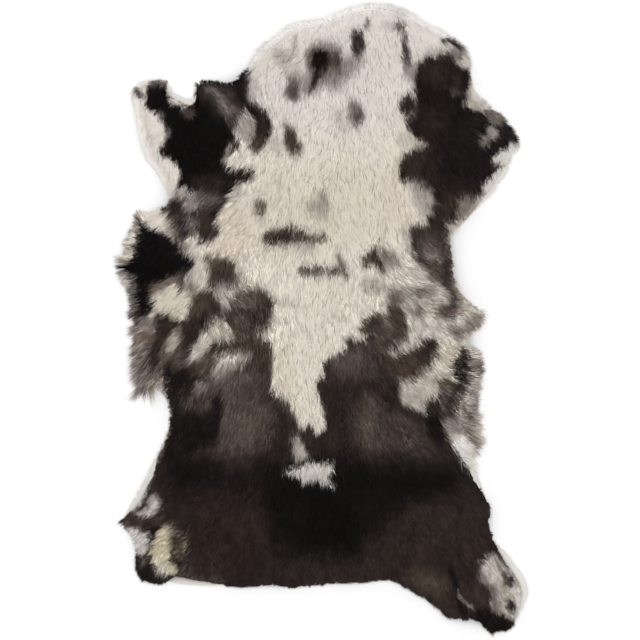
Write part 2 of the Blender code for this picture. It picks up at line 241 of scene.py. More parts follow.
# The markings, in the order in which they cover each other: place, tone, share, soft, width, and the x and y
# of each of its points in turn. share is how strongly a marking covers what lies under it, and soft is the
# width of its edge. A marking of width above 0 is a stripe along its points, and otherwise the patch inside
# them. All sizes are millimetres.
MARKS = (
    ("neck", "white", 1, 40, 0, (-130, 330, -120, 480, 0, 540, 150, 540, 260, 450, 150, 330, 60, 290)),
    ("crown", "cool", 0.8, 16, 0, (-120, 430, -66, 470, 0, 484, 50, 500, 100, 508, 140, 498, 180, 476, 225, 462,
        270, 480, 200, 570, -100, 570, -170, 480)),
    # Painted light: the crown's rim is made brighter than the neck's white to offset the shade where it slopes
    # away.
    ("crown, rim, painted light", "snow", 0.9, 8, 14, (-112, 424, -92, 448, -70, 464, -38, 486, -2, 490, 48, 509, 96, 517,
        134, 509, 172, 487, 209, 468)),
    ("back, left", "sand", 0.7, 24, 0, (-172, 190, -122, 182, -108, 120, -140, 98, -184, 102, -190, 150)),
    ("back, right", "sand", 0.5, 24, 0, (96, 230, 132, 264, 152, 220, 150, 160, 128, 126, 98, 168)),
    ("back, middle", "cream", 0.6, 30, 0, (-90, 240, 0, 250, 110, 240, 100, 130, 30, 120, -80, 90, -110, 170)),
    ("rump", "sable", 1, 8.1, 0, (-262, -70, -240, -74, -214, -84, -196, -98, -176, -102, -160, -100, -140, -86,
        -120, -74, -104, -60, -92, -40, -60, -30, 0, -30, 42, -30, 60, -28, 78, -30, 92, -28, 106, -16, 116,
        -16, 144, -16, 144, -44, 132, -50, 116, -56, 104, -66, 112, -80, 126, -96, 138, -108, 136, -122, 136,
        -136, 140, -146, 150, -148, 160, -150, 172, -160, 182, -150, 184, -134, 194, -136, 200, -150, 204, -168,
        206, -186, 215, -200, 228, -222, 240, -244, 254, -262, 300, -300, 330, -400, 345, -560, 180, -560, -340,
        -490, -350, -330, -306, -324, -299, -312, -294, -300, -290, -288, -283, -268, -278, -245, -262, -222,
        -250, -170, -262, -120)),
    ("rump, lighter left", "smoke", 0.8, 40, 0, (-224, -120, -150, -100, -100, -110, -84, -160, -90, -210, -150,
        -236, -210, -220, -236, -170)),
    ("rump, grey swell", "smoke", 0.7, 34, 0, (-134, -150, -100, -148, -84, -172, -100, -190, -134, -184)),
    ("rump, lighter right", "smoke", 0.7, 30, 0, (60, -140, 78, -134, 94, -142, 98, -172, 106, -204, 110, -224,
        94, -230, 72, -224, 56, -208, 58, -170)),
    ("loin, right, grey", "mauve", 0.6, 26, 0, (18, -72, 44, -56, 62, -42, 78, -50, 76, -84, 58, -100, 28,
        -96)),
    ("loin, right, dark", "sable", 0.6, 22, 0, (6, -104, 44, -104, 56, -130, 48, -164, 14, -160, 6, -136)),
    ("loin, right, warm grey", "mauve", 0.4, 12, 0, (82, -32, 104, -34, 102, -70, 94, -104, 76, -100, 78, -60)),
    ("rump, right, streaked", "mauve", 0.45, 30, 0, (104, -160, 150, -164, 176, -190, 190, -230, 160, -240, 120,
        -210)),
    ("rump, near black", "coal", 0.95, 46, 0, (-100, -244, 30, -234, 150, -244, 236, -246, 226, -290, 120, -330,
        60, -400, -60, -400, -100, -320)),
    ("left thigh, near black", "coal", 0.7, 40, 0, (-258, -220, -180, -240, -110, -270, -140, -300, -220, -300,
        -250, -280)),
    ("left thigh, reddish", "russet", 0.8, 40, 0, (-214, -300, -150, -290, -100, -330, -96, -410, -130, -436,
        -200, -420, -220, -360)),
    ("right thigh, grey", "bark", 0.6, 44, 0, (150, -320, 200, -310, 222, -360, 200, -404, 150, -396)),
    ("right leg, olive brown", "umber", 0.9, 28, 0, (140, -436, 160, -424, 190, -428, 212, -444, 210, -460, 190,
        -464, 160, -454)),
    ("right leg, mauve", "bark", 0.7, 20, 0, (238, -444, 262, -446, 284, -466, 294, -488, 268, -486, 246,
        -474)),
    ("wedge", "ivory", 1, 3.5, 0, (-110, -12, -100, -28, -91, -38, -81, -48, -77, -60, -79, -93, -82, -112, -86,
        -122, -76, -126, -64, -132, -54, -142, -46, -155, -39, -166, -34, -178, -30, -184, -24, -186, -18, -179,
        -12, -182, -9, -190, -3, -194, 4, -190, 9, -182, 9, -164, 3, -150, -1, -138, -6, -124, -8, -112, -2,
        -101, 7, -95, 6, -86, 4, -80, 16, -70, 34, -62, 40, -52, 43, -38, 50, -34, 62, -37, 76, -37, 78, -30,
        66, -24, 60, -16, 64, 4, 100, 40, 0, 60, -80, 30)),
    ("wedge, cream side", "cream", 0.7, 20, 0, (-80, -40, -50, -40, -40, -120, -30, -180, -50, -150, -78,
        -120)),
    ("wedge, shade by the tip", "ash", 0.35, 8, 3, (-12, -112, -16, -124, -12, -140)),
    ("white bit on the loin", "silver", 0.95, 5, 0, (-50, -203, -36, -200, -32, -210, -27, -220, -20, -229, -15,
        -236, -26, -239, -38, -238, -47, -234, -49, -224, -44, -214)),
    ("white bit, bright end", "pearl", 0.6, 6, 0, (-46, -220, -34, -218, -22, -230, -26, -236, -42, -234)),
    ("spot on the rump", "white", 0.95, 3.5, 0, (-64, -258, -54, -255, -42, -253, -33, -250, -26, -247, -16,
        -245, -4, -244, 10, -246, 20, -248, 22, -254, 16, -259, 12, -264, 12, -271, 20, -277, 23, -282, 12,
        -281, 2, -276, -5, -273, -14, -276, -24, -278, -32, -274, -38, -268, -48, -263, -56, -261)),
    ("spot on the rump, shade", "silver", 0.4, 8, 0, (-20, -258, 6, -256, 10, -266, -6, -270, -24, -276, -30,
        -268)),
    # The neck
    ("neck, grey left", "ash", 0.5, 14, 0, (-78, 442, -64, 444, -52, 438, -52, 422, -66, 418, -78, 428)),
    ("neck, streak", "ash", 0.6, 7, 6, (-43, 467, -45, 455, -46, 442, -48, 430)),
    ("neck, smear", "mauve", 0.6, 14, 0, (-36, 398, -20, 402, -8, 398, -8, 386, -16, 374, -24, 368, -34, 374)),
    ("neck, spot", "bark", 0.85, 8, 0, (-56, 396, -48, 399, -40, 395, -36, 385, -35, 373, -38, 363, -46, 360,
        -56, 363, -60, 372, -56, 382)),
    ("neck, haze", "ash", 0.5, 14, 0, (-54, 404, -36, 408, -26, 396, -30, 384, -50, 386)),
    ("neck, halo of the big spot", "smoke", 0.7, 14, 0, (-10, 456, 0, 458, 20, 456, 34, 448, 40, 430, 40, 414,
        34, 404, 14, 398, 4, 386, -8, 372, -20, 372, -22, 390, -24, 410, -25, 432, -20, 446)),
    ("neck, big spot", "coal", 1, 6, 0, (-8, 444, 0, 447, 8, 446, 15, 438, 16, 424, 12, 410, 8, 398, -4, 394,
        -8, 384, -13, 376, -18, 378, -14, 390, -12, 402, -14, 414, -16, 427, -14, 438)),
    ("neck, big spot, left side", "bark", 0.8, 5, 7, (-20, 438, -21, 426, -19, 414)),
    ("neck, big spot, brown side", "bark", 0.85, 7, 0, (10, 442, 20, 444, 30, 440, 36, 430, 37, 416, 32, 406,
        22, 404, 14, 412)),
    ("neck, grey below the spot", "mauve", 0.75, 16, 0, (0, 408, 20, 414, 40, 414, 44, 398, 36, 382, 22, 376,
        10, 388, 0, 396)),
    ("neck, upright spots", "soot", 0.9, 6, 0, (57, 476, 64, 478, 71, 472, 73, 462, 73, 448, 69, 438, 62, 433,
        56, 434, 53, 442, 51, 454, 51, 468)),
    ("neck, smear right", "mauve", 0.55, 14, 0, (46, 434, 64, 434, 72, 428, 66, 412, 54, 402, 42, 404, 36, 414,
        40, 426)),
    ("neck, small top spot", "mauve", 0.9, 5, 0, (77, 500, 84, 498, 84, 488, 80, 478, 74, 474, 71, 482, 74,
        492)),
    ("neck, ellipse", "bark", 1, 8, 0, (-62, 318, -54, 318, -44, 308, -36, 292, -32, 280, -35, 269, -43, 265,
        -53, 271, -59, 284, -62, 302)),
    ("neck, ellipse, edge", "ash", 0.4, 10, 8, (-64, 322, -58, 318, -48, 314)),
    ("withers, haze", "ash", 0.35, 16.2, 0, (22, 346, 36, 346, 40, 330, 32, 318, 22, 328)),
    ("withers, spot", "smoke", 0.8, 10, 0, (50, 358, 60, 359, 69, 350, 75, 338, 73, 326, 64, 317, 53, 320, 45,
        331, 46, 346)),
    ("withers, spot, core", "bark", 0.9, 8, 0, (58, 342, 68, 340, 72, 332, 66, 324, 56, 328)),
    ("withers, tail of the spot", "ash", 0.6, 6, 5, (60, 320, 64, 312, 67, 306)),
    ("withers, faint left", "silver", 0.4, 14, 0, (-80, 310, -64, 300, -60, 280, -70, 268, -88, 280)),
    ("withers, faint", "silver", 0.35, 18, 0, (34, 330, 50, 324, 56, 308, 40, 300, 26, 310)),
    ("neck, faint left of the spot", "silver", 0.35, 18, 0, (-60, 430, -30, 436, -30, 400, -54, 394, -66, 400)),
    ("crown, smudge", "ash", 0.2, 13.5, 0, (112, 516, 130, 516, 142, 508, 138, 500, 120, 504)),
    ("crown, haze", "ash", 0.3, 10.8, 0, (106, 491, 118, 488, 120, 478, 108, 480)),
    ("chain, top", "smoke", 0.85, 6.1, 0, (122, 490, 130, 493, 139, 488, 143, 478, 137, 472, 127, 473, 121,
        481)),
    ("chain, middle", "smoke", 0.85, 4, 0, (139, 474, 146, 469, 146, 459, 141, 450, 133, 450, 132, 461)),
    ("chain, low", "sable", 0.85, 4, 0, (134, 452, 143, 452, 149, 442, 150, 430, 147, 417, 139, 415, 135, 430)),
    ("chain, grey", "ash", 0.75, 7, 0, (140, 418, 155, 420, 160, 408, 158, 395, 146, 394, 138, 404)),
    # The right shoulder and foreleg
    ("right shoulder", "soot", 1, 5, 0, (158, 408, 162, 418, 170, 426, 178, 431, 192, 433, 204, 436, 212, 441,
        222, 445, 228, 438, 225, 427, 225, 418, 234, 414, 243, 414, 250, 412, 251, 398, 248, 378, 241, 370, 244,
        362, 240, 354, 256, 345, 270, 340, 282, 335, 292, 328, 292, 312, 290, 298, 292, 284, 290, 274, 292, 262,
        288, 256, 296, 254, 306, 249, 302, 242, 287, 240, 286, 228, 272, 220, 268, 210, 276, 205, 264, 197, 250,
        188, 244, 178, 238, 166, 226, 159, 212, 152, 209, 140, 205, 130, 205, 120, 200, 104, 190, 128, 180, 150,
        177, 164, 181, 176, 184, 190, 183, 205, 177, 213, 168, 219, 156, 224, 146, 222, 136, 221, 132, 230, 133,
        240, 131, 252, 138, 262, 145, 271, 156, 276, 169, 281, 178, 287, 172, 294, 162, 298, 155, 302, 150, 311,
        147, 320, 149, 330, 156, 339, 159, 352, 156, 370, 156, 392, 156, 402)),
    ("right shoulder, warm side", "bark", 0.6, 34, 0, (164, 420, 200, 438, 222, 424, 206, 390, 166, 380)),
    ("right shoulder, brown lobe", "bark", 0.8, 16, 0, (134, 252, 141, 267, 156, 275, 172, 286, 176, 270, 168,
        246, 158, 230, 139, 230)),
    ("right shoulder, warm middle", "bark", 0.5, 34, 0, (164, 350, 190, 350, 200, 320, 186, 270, 196, 226, 170,
        222, 166, 250, 176, 290, 160, 316)),
    ("right shoulder, low", "bark", 0.55, 30, 0, (190, 214, 260, 216, 250, 180, 212, 152, 190, 130, 186, 170)),
    ("right shoulder, grey below", "ash", 0.6, 9, 0, (138, 228, 160, 230, 178, 224, 184, 212, 166, 210, 146,
        216)),
    ("right shoulder, grey gap", "silver", 0.8, 11, 0, (152, 222, 184, 212, 188, 190, 182, 168, 166, 166, 156,
        190)),
    ("right shoulder, shade by the lobe", "ash", 0.3, 10, 0, (128, 300, 146, 306, 160, 296, 152, 284, 130,
        276)),
    ("right shoulder, mauve edge", "mauve", 0.35, 8.1, 0, (152, 350, 163, 350, 165, 330, 155, 326, 148, 338)),
    ("right shoulder, lobe", "sable", 0.85, 4, 0, (139, 330, 147, 332, 154, 322, 156, 311, 150, 306, 142, 311)),
    ("right shoulder, round spot", "sable", 1, 5, 0, (138, 366, 148, 369, 157, 363, 159, 350, 155, 340, 145,
        335, 133, 336, 129, 344, 129, 353, 132, 361)),
    ("right shoulder, silver hair", "sable", 0.75, 6, 0, (212, 442, 222, 446, 234, 440, 237, 432, 230, 424, 222,
        422, 216, 430)),
    ("right shoulder, silver rim", "pearl", 0.85, 4, 11, (238, 444, 245, 434, 249, 422)),
    ("right shoulder, silver stroke", "silver", 0.45, 4, 4, (224, 436, 230, 426, 234, 416)),
    ("right shoulder, grey under the arc", "silver", 0.6, 6, 0, (210, 452, 224, 451, 232, 440, 226, 430, 214,
        436)),
    ("right shoulder, grey side", "bark", 0.7, 12, 0, (222, 400, 236, 404, 240, 390, 232, 376, 222, 380)),
    ("right shoulder, silver line", "silver", 0.8, 4, 4, (236, 353, 244, 350, 254, 347, 262, 345)),
    ("right shoulder, grey strokes", "mauve", 0.6, 8, 7, (222, 374, 234, 372, 246, 366)),
    ("right shoulder, arc", "soot", 1, 3.5, 7.5, (205, 459, 213, 461, 222, 458, 229, 452, 234, 445)),
    ("right foreleg, fringe", "white", 0.95, 5, 0, (252, 380, 262, 372, 274, 362, 288, 354, 298, 346, 290, 343,
        276, 346, 264, 350, 256, 354, 252, 366)),
    ("right foreleg, fringe, shade", "ash", 0.5, 5, 0, (246, 362, 258, 361, 267, 351, 257, 348, 248, 354)),
    ("right foreleg", "coal", 0.95, 6, 0, (284, 344, 298, 342, 306, 332, 312, 320, 326, 316, 331, 300, 334, 293,
        326, 286, 312, 281, 300, 276, 290, 268, 282, 276, 276, 292, 264, 300, 262, 320, 268, 338)),
    ("right foreleg, grey patch", "ash", 0.9, 6, 0, (266, 303, 279, 304, 285, 294, 279, 284, 268, 285)),
    ("right foreleg, light of the patch", "silver", 0.9, 5, 0, (279, 318, 288, 319, 295, 308, 294, 297, 284,
        297, 278, 306)),
    ("right foreleg, grey top", "ash", 0.85, 7, 0, (276, 341, 292, 343, 303, 337, 309, 328, 300, 320, 286, 322,
        277, 330)),
    ("right foreleg, pale side", "cool", 0.95, 4, 0, (294, 272, 304, 276, 318, 280, 332, 288, 330, 262, 316,
        238, 308, 224, 298, 206, 286, 200, 280, 206, 274, 214, 276, 222, 284, 232, 290, 240, 296, 246, 290, 252,
        288, 264)),
    ("right foreleg, pale rim", "snow", 0.8, 5, 9, (320, 284, 314, 258, 306, 236, 288, 212, 272, 194)),
    ("right foreleg, spike", "bark", 0.9, 4, 0, (284, 260, 296, 256, 308, 251, 300, 247, 284, 246)),
    ("right armpit, brown grey", "ash", 0.85, 8, 0, (232, 196, 248, 200, 262, 196, 254, 180, 240, 164, 226, 162,
        228, 178)),
    ("right armpit, streak", "silver", 0.4, 4, 4, (233, 190, 244, 186, 252, 180)),
    # The left shoulder and foreleg
    ("left foreleg, pale", "white", 0.7, 10, 0, (-330, 372, -300, 388, -280, 350, -250, 350, -246, 310, -256,
        290, -240, 266, -228, 236, -246, 200, -280, 180, -310, 240, -325, 320)),
    ("left foreleg, pale rim", "snow", 0.9, 5, 12, (-308, 356, -305, 330, -298, 296, -290, 270, -274, 244, -260,
        222)),
    ("left shoulder", "coal", 1, 4, 0, (-290, 382, -282, 390, -274, 393, -264, 394, -256, 392, -256, 375, -254,
        363, -246, 355, -234, 354, -222, 351, -212, 356, -209, 364, -208, 379, -206, 402, -190, 404, -150, 402,
        -140, 404, -130, 416, -120, 418, -115, 402, -121, 384, -121, 359, -102, 351, -89, 342, -83, 327, -80,
        312, -83, 299, -92, 290, -99, 281, -105, 273, -115, 278, -121, 284, -108, 298, -104, 314, -108, 330,
        -116, 340, -126, 344, -132, 338, -138, 326, -142, 312, -144, 300, -140, 292, -138, 284, -142, 276, -154,
        268, -162, 256, -152, 248, -146, 245, -134, 246, -118, 245, -111, 237, -115, 230, -122, 223, -138, 221,
        -147, 213, -151, 205, -152, 197, -158, 185, -171, 171, -179, 156, -181, 140, -189, 133, -204, 136, -222,
        134, -230, 126, -238, 136, -244, 156, -254, 164, -256, 176, -250, 186, -242, 198, -230, 201, -217, 201,
        -204, 204, -222, 212, -238, 215, -237, 226, -232, 240, -241, 252, -250, 261, -263, 267, -268, 272, -268,
        280, -261, 287, -256, 298, -261, 312, -264, 322, -271, 333, -280, 341, -290, 347, -293, 356, -289,
        366)),
    ("left shoulder, leg tip", "mauve", 0.8, 6, 14, (-280, 390, -272, 390, -264, 390)),
    ("left shoulder, brown band", "smoke", 0.65, 24, 0, (-200, 388, -176, 392, -146, 380, -134, 340, -152, 322,
        -176, 340, -196, 364)),
    ("left shoulder, silver streak", "silver", 0.65, 14, 13, (-180, 380, -169, 368, -161, 354, -155, 342)),
    ("left shoulder, mauve edge", "mauve", 0.6, 16, 0, (-150, 350, -134, 350, -130, 320, -142, 304, -150, 320)),
    ("left shoulder, silver gap", "silver", 0.95, 5, 0, (-128, 343, -119, 341, -110, 331, -107, 318, -109, 303,
        -115, 294, -122, 292, -132, 298, -139, 304, -138, 316, -133, 330)),
    ("left shoulder, hooked band", "bark", 0.75, 16, 0, (-108, 352, -92, 343, -85, 320, -87, 300, -97, 286,
        -108, 279, -106, 316)),
    ("left shoulder, grey top", "mauve", 0.5, 18, 0, (-128, 398, -112, 398, -104, 370, -112, 356, -126, 362)),
    ("left shoulder, band, brown end", "umber", 0.8, 12, 0, (-116, 302, -100, 298, -92, 286, -104, 276, -118,
        282)),
    ("left shoulder, drop", "sable", 1, 5, 0, (-152, 292, -142, 294, -134, 291, -132, 284, -136, 278, -147, 275,
        -153, 281)),
    ("left shoulder, spur, light", "pearl", 0.7, 5, 9, (-152, 282, -157, 270, -161, 262)),
    ("left notch, brown", "smoke", 0.8, 6, 0, (-234, 348, -222, 351, -210, 348, -209, 336, -222, 332, -232,
        340)),
    ("left notch, dark hair", "sable", 1, 2.5, 5, (-246, 366, -236, 363, -226, 359, -214, 352)),
    ("left shoulder, tongue", "bark", 0.55, 16, 0, (-216, 232, -160, 240, -120, 238, -112, 232, -140, 220, -160,
        208, -200, 210, -226, 222)),
    ("left shoulder, smear", "silver", 0.8, 6, 0, (-248, 213, -238, 216, -223, 211, -204, 205, -192, 200, -204,
        195, -226, 199, -246, 206)),
    ("left shoulder, smear, end", "ash", 0.75, 16, 0, (-206, 208, -184, 206, -164, 198, -166, 184, -200, 180)),
    ("left shoulder, low", "bark", 0.85, 12, 0, (-206, 184, -180, 176, -176, 156, -180, 138, -204, 140, -204,
        164)),
    ("left shoulder, low dark", "sable", 0.9, 10.8, 0, (-256, 192, -240, 202, -234, 180, -232, 150, -232, 132,
        -240, 140, -252, 166)),
    ("left shoulder, low end", "sable", 0.95, 5, 0, (-204, 140, -190, 143, -174, 152, -167, 142, -174, 130,
        -184, 122, -195, 120, -203, 128)),
    ("left shoulder, low silver", "silver", 0.9, 9, 0, (-234, 198, -212, 198, -200, 186, -204, 174, -230, 176)),
    ("left shoulder, low mauve", "silver", 0.6, 9, 0, (-232, 168, -216, 170, -204, 158, -202, 142, -222, 144)),
    ("left shoulder, hair below the tongue", "silver", 0.6, 7, 0, (-138, 216, -128, 218, -124, 210, -130, 202,
        -142, 194, -150, 188, -152, 196)),
    ("left foreleg, small spot", "soot", 0.9, 4, 0, (-312, 382, -304, 381, -296, 376, -292, 366, -297, 360,
        -304, 364, -311, 373)),
    ("left foreleg, haze", "silver", 0.6, 6, 0, (-273, 342, -259, 341, -258, 329, -268, 328)),
    ("left foreleg, grey spur", "ash", 0.8, 5, 0, (-257, 313, -248, 311, -247, 301, -256, 300)),
    ("left foreleg, brown spur", "umber", 0.3, 6, 0, (-270, 288, -258, 294, -252, 280, -262, 272, -270, 276)),
    ("left foreleg, line", "ash", 0.4, 4, 2.5, (-287, 299, -277, 301, -267, 305)),
    ("left armpit, dot", "sable", 0.95, 3.5, 0, (-268, 184, -260, 186, -254, 180, -256, 172, -264, 174)),
    # The left flank
    ("left flank, spike", "smoke", 0.95, 6, 8, (-315, 184, -309, 168, -302, 152)),
    ("left flank", "coal", 1, 4.5, 0, (-301, 156, -294, 156, -284, 149, -272, 142, -254, 136, -240, 127, -233,
        115, -222, 104, -213, 93, -211, 80, -218, 74, -226, 70, -226, 60, -229, 46, -236, 44, -241, 52, -241,
        60, -246, 66, -256, 60, -266, 56, -274, 54, -280, 46, -281, 38, -279, 28, -275, 20, -280, 10, -285, 3,
        -298, -3, -306, -12, -318, -14, -312, 6, -313, 23, -313, 50, -314, 66, -328, 70, -346, 78, -352, 88,
        -330, 87, -316, 92, -311, 120, -306, 133, -303, 145)),
    ("left flank, fringe", "mauve", 0.85, 8, 10, (-321, 62, -319, 40, -318, 10, -320, -20, -320, -44)),
    ("left flank, fringe, top", "silver", 0.85, 8, 12, (-321, 148, -322, 128, -323, 108)),
    ("left flank, spike, grey", "ash", 0.85, 5, 9, (-318, 94, -328, 94, -338, 94)),
    ("left flank, mauve rim", "smoke", 0.85, 14, 12, (-250, 158, -243, 146, -236, 132, -229, 118)),
    ("left flank, brown spot", "umber", 0.95, 7, 0, (-194, 98, -182, 103, -164, 100, -150, 96, -144, 84, -138,
        72, -132, 60, -138, 52, -150, 49, -166, 46, -180, 45, -190, 52, -190, 64, -184, 76)),
    ("left flank, brown spot, core", "bark", 0.9, 8, 0, (-180, 92, -160, 92, -146, 84, -138, 70, -136, 62, -144,
        54, -162, 53, -176, 58)),
    ("left flank, brown spot, side", "ash", 0.5, 7, 0, (-144, 80, -130, 78, -120, 62, -128, 50, -142, 54)),
    ("left flank, silver patch", "pearl", 0.6, 5, 0, (-220, 126, -207, 124, -197, 100, -190, 72, -197, 54, -207,
        60, -210, 82, -212, 100)),
    ("left flank, olive", "ash", 0.9, 12, 0, (-230, 56, -206, 60, -200, 46, -206, 30, -224, 32)),
    ("left flank, mauve by the stroke", "mauve", 0.55, 8, 0, (-238, 72, -222, 76, -214, 66, -218, 50, -230, 46,
        -238, 54)),
    ("left flank, dark stroke", "olive", 0.85, 4, 9, (-237, 70, -235, 58, -234, 48)),
    ("left flank, dark band", "bark", 0.95, 6, 0, (-206, 40, -192, 44, -180, 40, -170, 30, -162, 18, -158, 6,
        -164, -4, -182, -12, -190, -22, -202, -34, -210, -46, -216, -60, -216, -78, -230, -82, -232, -58, -230,
        -36, -230, -12, -224, -8, -220, 0, -220, 16, -217, 28)),
    ("left flank, dark band, black", "soot", 0.7, 8, 0, (-222, -8, -208, 4, -188, 6, -186, -6, -196, -22, -210,
        -40, -218, -66, -230, -70, -230, -40)),
    ("left flank, band, olive side", "olive", 0.6, 8, 7, (-212, 44, -210, 28, -206, 8)),
    ("left flank, cream patch", "cream", 1, 5, 0, (-276, 20, -273, 30, -265, 36, -256, 43, -248, 46, -241, 43,
        -238, 38, -232, 32, -226, 24, -224, 14, -223, 4, -223, -5, -232, -7, -244, -7, -254, 0, -262, 6, -271,
        8, -278, 13)),
    ("left flank, cream patch, shade", "smoke", 0.85, 5, 0, (-290, 54, -278, 58, -262, 61, -250, 64, -243, 60,
        -242, 54, -251, 51, -261, 45, -268, 38, -285, 36)),
    ("left flank, grey notch", "smoke", 0.6, 4, 0, (-252, 68, -245, 71, -241, 64, -243, 57, -252, 58)),
    ("left flank, line", "ash", 0.6, 3, 2, (-272, 16, -252, 14, -238, 12, -224, 8)),
    ("left flank, below the cream", "sable", 1, 5, 0, (-278, 6, -262, 8, -250, 0, -240, -6, -222, -9, -212, -10,
        -206, -20, -206, -34, -214, -46, -219, -60, -226, -72, -231, -60, -233, -44, -229, -30, -231, -20, -240,
        -18, -250, -28, -259, -40, -263, -52, -266, -66, -264, -80, -262, -92, -272, -96, -282, -88, -284, -70,
        -284, -52, -280, -40, -278, -26, -278, -10)),
    ("left flank, round the cream tuft", "umber", 0.9, 5, 0, (-231, -17, -242, -15, -253, -26, -263, -42, -269,
        -66, -262, -82, -242, -72, -229, -62, -229, -40)),
    ("left flank, purple grey", "mauve", 0.95, 5, 0, (-304, -2, -292, 0, -280, -1, -277, -12, -279, -25, -292,
        -26, -303, -20)),
    ("left flank, side, low", "smoke", 0.9, 6, 14, (-318, 2, -312, -10)),
    ("left flank, brown band", "umber", 0.95, 5, 0, (-312, -24, -296, -27, -281, -25, -274, -34, -278, -44,
        -292, -44, -310, -36)),
    ("left flank, long hair", "mauve", 0.8, 9, 0, (-318, -44, -300, -44, -285, -46, -284, -84, -264, -92, -262,
        -106, -280, -120, -309, -147, -325, -125, -322, -70)),
    ("left flank, long hair, dark", "sable", 0.75, 7, 12, (-288, -50, -286, -68, -287, -92)),
    ("left flank, long hair, pale", "silver", 0.9, 7, 12, (-308, -56, -308, -74, -312, -92, -313, -118)),
    ("left flank, side, shade", "smoke", 0.45, 6, 14, (-306, -6, -308, -24, -307, -42)),
    ("left flank, last dark tip", "smoke", 0.9, 6, 9, (-290, -124, -298, -134, -308, -142)),
    ("left flank, long hair, grey end", "smoke", 0.5, 12, 0, (-292, -90, -270, -88, -266, -108, -288, -112,
        -304, -110)),
    ("left flank, cream tuft", "pearl", 0.85, 4, 0, (-244, -22, -238, -24, -236, -36, -239, -50, -246, -61,
        -256, -62, -257, -48, -251, -34)),
    ("left flank, tuft, hair end", "mauve", 0.5, 5, 6, (-256, -74, -266, -80, -272, -90)),
    ("left flank, dark by the web", "soot", 0.95, 6, 0, (-261, -86, -248, -88, -230, -87, -218, -78, -206, -84,
        -196, -92, -184, -100, -172, -114, -160, -150, -170, -210, -262, -240, -252, -165, -255, -141, -260,
        -108)),
    ("left flank, grey", "smoke", 0.9, 6, 0, (-247, -66, -230, -64, -228, -76, -232, -86, -246, -84)),
    ("loin, left", "bark", 1, 6, 0, (-147, 38, -134, 43, -124, 47, -104, 48, -94, 44, -83, 37, -75, 28, -76, 20,
        -79, 10, -81, 0, -82, -10, -84, -20, -92, -27, -106, -30, -118, -33, -130, -35, -144, -32, -148, -24,
        -158, -14, -166, -4, -167, 6, -161, 14, -154, 18, -150, 26)),
    ("loin, left, brown side", "ash", 0.6, 8, 0, (-150, 46, -130, 48, -125, 34, -128, 12, -148, 10)),
    ("loin, left, grey low", "ash", 0.35, 10, 0, (-156, 0, -130, 4, -112, -14, -126, -30, -150, -26)),
    ("loin, left, brown top", "umber", 0.7, 12.2, 0, (-130, 46, -106, 48, -92, 42, -100, 34, -124, 32)),
    ("loin, left, mauve", "mauve", 0.5, 16.2, 0, (-122, 34, -100, 34, -96, 16, -112, 8, -124, 18)),
    ("loin, left, streaks", "silver", 0.85, 6, 0, (-172, 50, -160, 54, -150, 46, -148, 30, -150, 14, -156, 6,
        -164, 12, -170, 28)),
    ("flank, cream diagonal", "pearl", 0.95, 5, 0, (-183, -14, -175, -9, -165, -9, -158, -13, -150, -20, -146,
        -27, -150, -35, -158, -39, -166, -43, -175, -49, -185, -57, -194, -64, -202, -68, -208, -64, -211, -54,
        -207, -44, -201, -36, -194, -29, -188, -21)),
    ("flank, cream diagonal, light", "cream", 0.6, 8, 0, (-178, -14, -164, -12, -152, -20, -160, -30, -178, -36,
        -190, -44, -198, -42, -188, -26)),
    ("loin, left, dark diagonal", "bark", 1, 5, 0, (-160, -40, -150, -37, -136, -35, -116, -33, -102, -34, -92,
        -38, -86, -46, -84, -60, -85, -90, -88, -118, -98, -112, -112, -96, -114, -82, -106, -72, -112, -66,
        -120, -66, -136, -64, -148, -62, -160, -62, -174, -60, -190, -64, -193, -56, -184, -48, -172, -42)),
    ("loin, left, brown end", "bark", 0.85, 7, 0, (-182, -62, -168, -66, -168, -74, -176, -84, -180, -100, -214,
        -98, -218, -76, -206, -70)),
    ("loin, left, light streak", "ash", 0.65, 8, 0, (-114, -62, -124, -68, -138, -70, -154, -72, -166, -78,
        -172, -88, -174, -98, -166, -104, -154, -100, -142, -90, -130, -82, -118, -76)),
    ("left rump, small spot", "silver", 0.9, 5, 0, (-211, -110, -200, -108, -190, -111, -190, -121, -200, -125,
        -210, -122)),
    ("left rump, haze", "smoke", 0.6, 14, 0, (-232, -124, -206, -128, -184, -124, -176, -150, -200, -162, -230,
        -150)),
    ("left rump, grey", "mauve", 0.6, 9, 0, (-212, -108, -160, -96, -112, -86, -108, -110, -150, -116, -176,
        -130, -208, -130)),
    # The back
    ("back, small brown spot", "smoke", 1, 6, 0, (-111, 192, -102, 197, -93, 194, -90, 184, -90, 171, -96, 166,
        -103, 172, -109, 178)),
    ("back, faint spot", "ash", 0.6, 12.2, 0, (-22, 193, -8, 197, 4, 203, 12, 205, 13, 189, 17, 177, 10, 164, 0,
        160, -12, 169, -22, 181)),
    ("back, faint spot, dark", "smoke", 0.6, 5, 6, (5, 210, 8, 200, 10, 190)),
    ("back, long spot", "bark", 1, 6, 0, (-100, 132, -90, 140, -78, 149, -66, 152, -54, 151, -44, 147, -32, 144,
        -20, 142, -6, 139, 8, 136, 14, 130, 4, 124, -16, 124, -36, 124, -50, 121, -62, 119, -78, 119, -90, 122,
        -98, 125)),
    ("back, long spot, core", "soot", 0.6, 9, 0, (-84, 132, -66, 141, -50, 136, -46, 126, -66, 119, -84, 122)),
    ("back, below the long spot", "silver", 0.55, 10.8, 0, (-50, 126, -10, 124, -2, 112, -20, 104, -44, 110)),
    ("back, streak", "sable", 1, 6, 10, (-34, 79, -24, 74, -12, 76, 0, 78, 14, 76, 28, 78, 38, 75, 46, 70)),
    ("back, streak, thick part", "sable", 0.95, 6, 11, (-26, 75, -14, 76, -4, 78)),
    ("back, streak, hook", "mauve", 0.95, 8, 9, (32, 102, 36, 92, 38, 82, 34, 76)),
    ("back, below the streak", "silver", 0.35, 13.5, 0, (-26, 74, 26, 74, 22, 58, -10, 62)),
